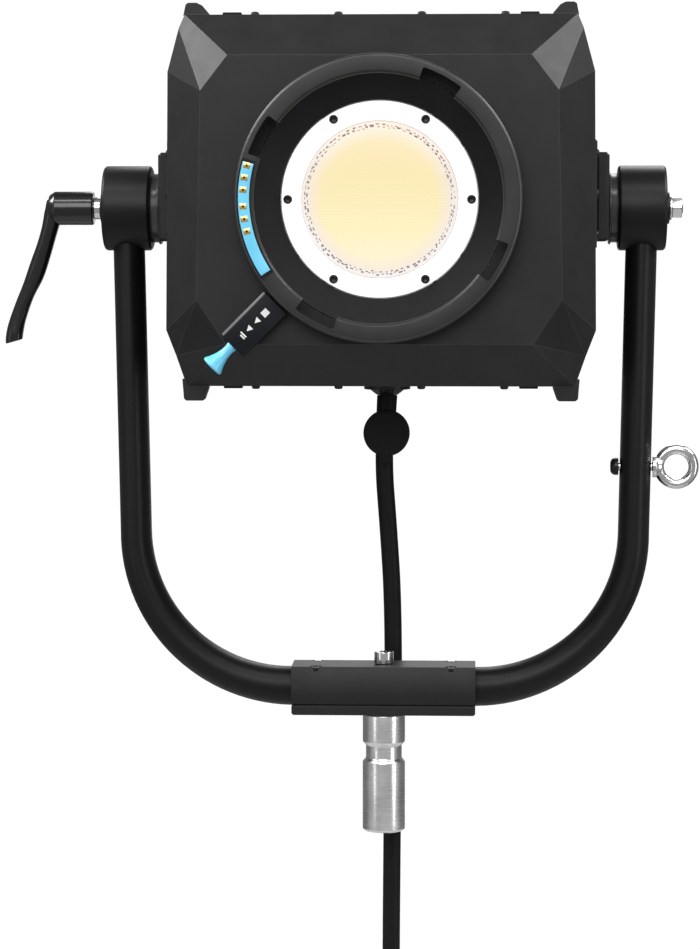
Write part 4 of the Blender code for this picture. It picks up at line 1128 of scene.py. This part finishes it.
# The grip's middle line from its root to its tip, as X, Z, half width and half depth.
GRIP_ROUTE = (
    (-219.4, 7.0, 5.0, 7.2),
    (-219.8, 1.0, 6.2, 7.6),
    (-220.6, -5.0, 6.4, 7.6),
    (-222.2, -12.0, 6.2, 7.2),
    (-225.2, -22.0, 6.2, 6.6),
    (-229.2, -34.0, 6.7, 6.2),
    (-234.0, -48.0, 6.8, 5.8),
    (-240.0, -61.0, 6.0, 5.8),
    (-245.0, -75.0, 6.0, 6.0),
    (-246.9, -84.0, 5.9, 6.4),
    (-247.2, -88.6, 5.6, 5.8),
)
GRIP_SIDES = 32
# An exponent below 1 makes the grip's section squarer than an oval. Each section leans by the other.
GRIP_SQUARENESS, GRIP_LEAN = 0.8, 0.28


# For the insert, the screw and the screw's head: radius, the two ends from the grip's face, and sides.
GRIP_HOLES = ((5.4, -11.5, 5.0, 32), (2.0, -40.0, -8.0, 20), (4.4, -42.0, -13.5, 32))


def squared(value):
    return math.copysign(abs(value) ** GRIP_SQUARENESS, value)


def grip_arm():
    spine = smooth_points([(x, 0.0, z) for x, z, _, _ in GRIP_ROUTE], 4)
    sizes = smooth_points([(half, depth, 0.0) for _, _, half, depth in GRIP_ROUTE], 4)
    turn = [2 * math.pi * i / GRIP_SIDES for i in range(GRIP_SIDES)]
    section = [(squared(math.cos(a)), squared(math.sin(a))) for a in turn]
    loops = []
    for point, size in zip(spine, sizes):
        ring = [(point.x + size.x * c, size.y * s, point.z + GRIP_LEAN * size.x * c) for c, s in section]
        loops.append(ring)
    return rounded(loft(loops), 1.2, 3, 50.0)


def add_lever():
    """Clamping lever: the steel insert with its collar, and the moulded grip with the screw's recess."""
    collar_end = COLLAR_X - 4.4
    tip = COLLAR_X - 15.0
    insert = [(0.0, local_box("lever_insert")[1].x), (4.0, local_box("lever_insert")[1].x), (4.0, COLLAR_X)]
    insert += [(7.4, COLLAR_X), (7.4, collar_end), (5.0, collar_end), (5.0, tip), (1.6, tip)]
    insert += [(1.6, COLLAR_X - 8.0), (0.0, COLLAR_X - 8.0)]
    stand_in("lever_insert", "body", turned(eased(insert, 0.4), "X", sides=48), "bright_steel")
    inner = local_box("lever_handle")[1].x
    barrel = [(0.0, inner), (10.6, inner), (11.15, inner - 0.8), (11.15, inner - 26.0)]
    barrel += [(8.6, inner - 29.8), (0.0, inner - 29.8)]
    handle = bmesh_boolean(turned(eased(barrel, 0.9), "X", sides=64), grip_arm(), "UNION")
    for radius, left, right, sides in GRIP_HOLES:
        hole = rod(radius, inner + left, inner + right, "X", sides=sides)
        handle = bmesh_boolean(handle, hole, "DIFFERENCE")
    stand_in("lever_handle", "grip", handle, "gloss_black", 40.0)


# How wide the eased edges of the nodes with finer or larger shapes are; the others have 0.5.
EDGE_WIDTHS = {
    "front_bezel": 0.42,
    "rear_cover": 0.45,
    "clamp_upper": 0.9,
    "clamp_lower": 0.6,
    "heat_sink": 0.0,
    "rear_grille": 0.25,
    "fan_rotor": 0.3,
    "side_panel_left": 0.4,
    "side_panel_right": 0.4,
    "cob_board": 0.0,
    "driver_board": 0.0,
}
FACETED_ANGLE, PLAIN_ANGLE = 5.0, 28.0


def refine_the_rest():
    """Every CAD node that no piece replaces yet keeps its shape, with eased edges and its own finish."""
    done = set()
    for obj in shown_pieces():
        done.update(obj.get("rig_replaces", []))
    for node in sorted(frame["nodes"]):
        if node not in done:
            refine(node, EDGE_WIDTHS.get(node, 0.5), FACETED_ANGLE if node in FACETED else PLAIN_ANGLE)


make_materials()
add_camera()
cord, cord_path = add_cord()
relief = add_gland()
connector, connector_pins = add_connector()
add_stage()
add_mount_ring()
add_contacts()
add_lamp()
add_lens()
add_case_details()
add_latch()
add_dust_cap()
add_tilt_joint()
add_yoke_arms()
add_clamp_parts()
add_pivot_fasteners()
add_eye_bolt()
add_lever()
refine_the_rest()
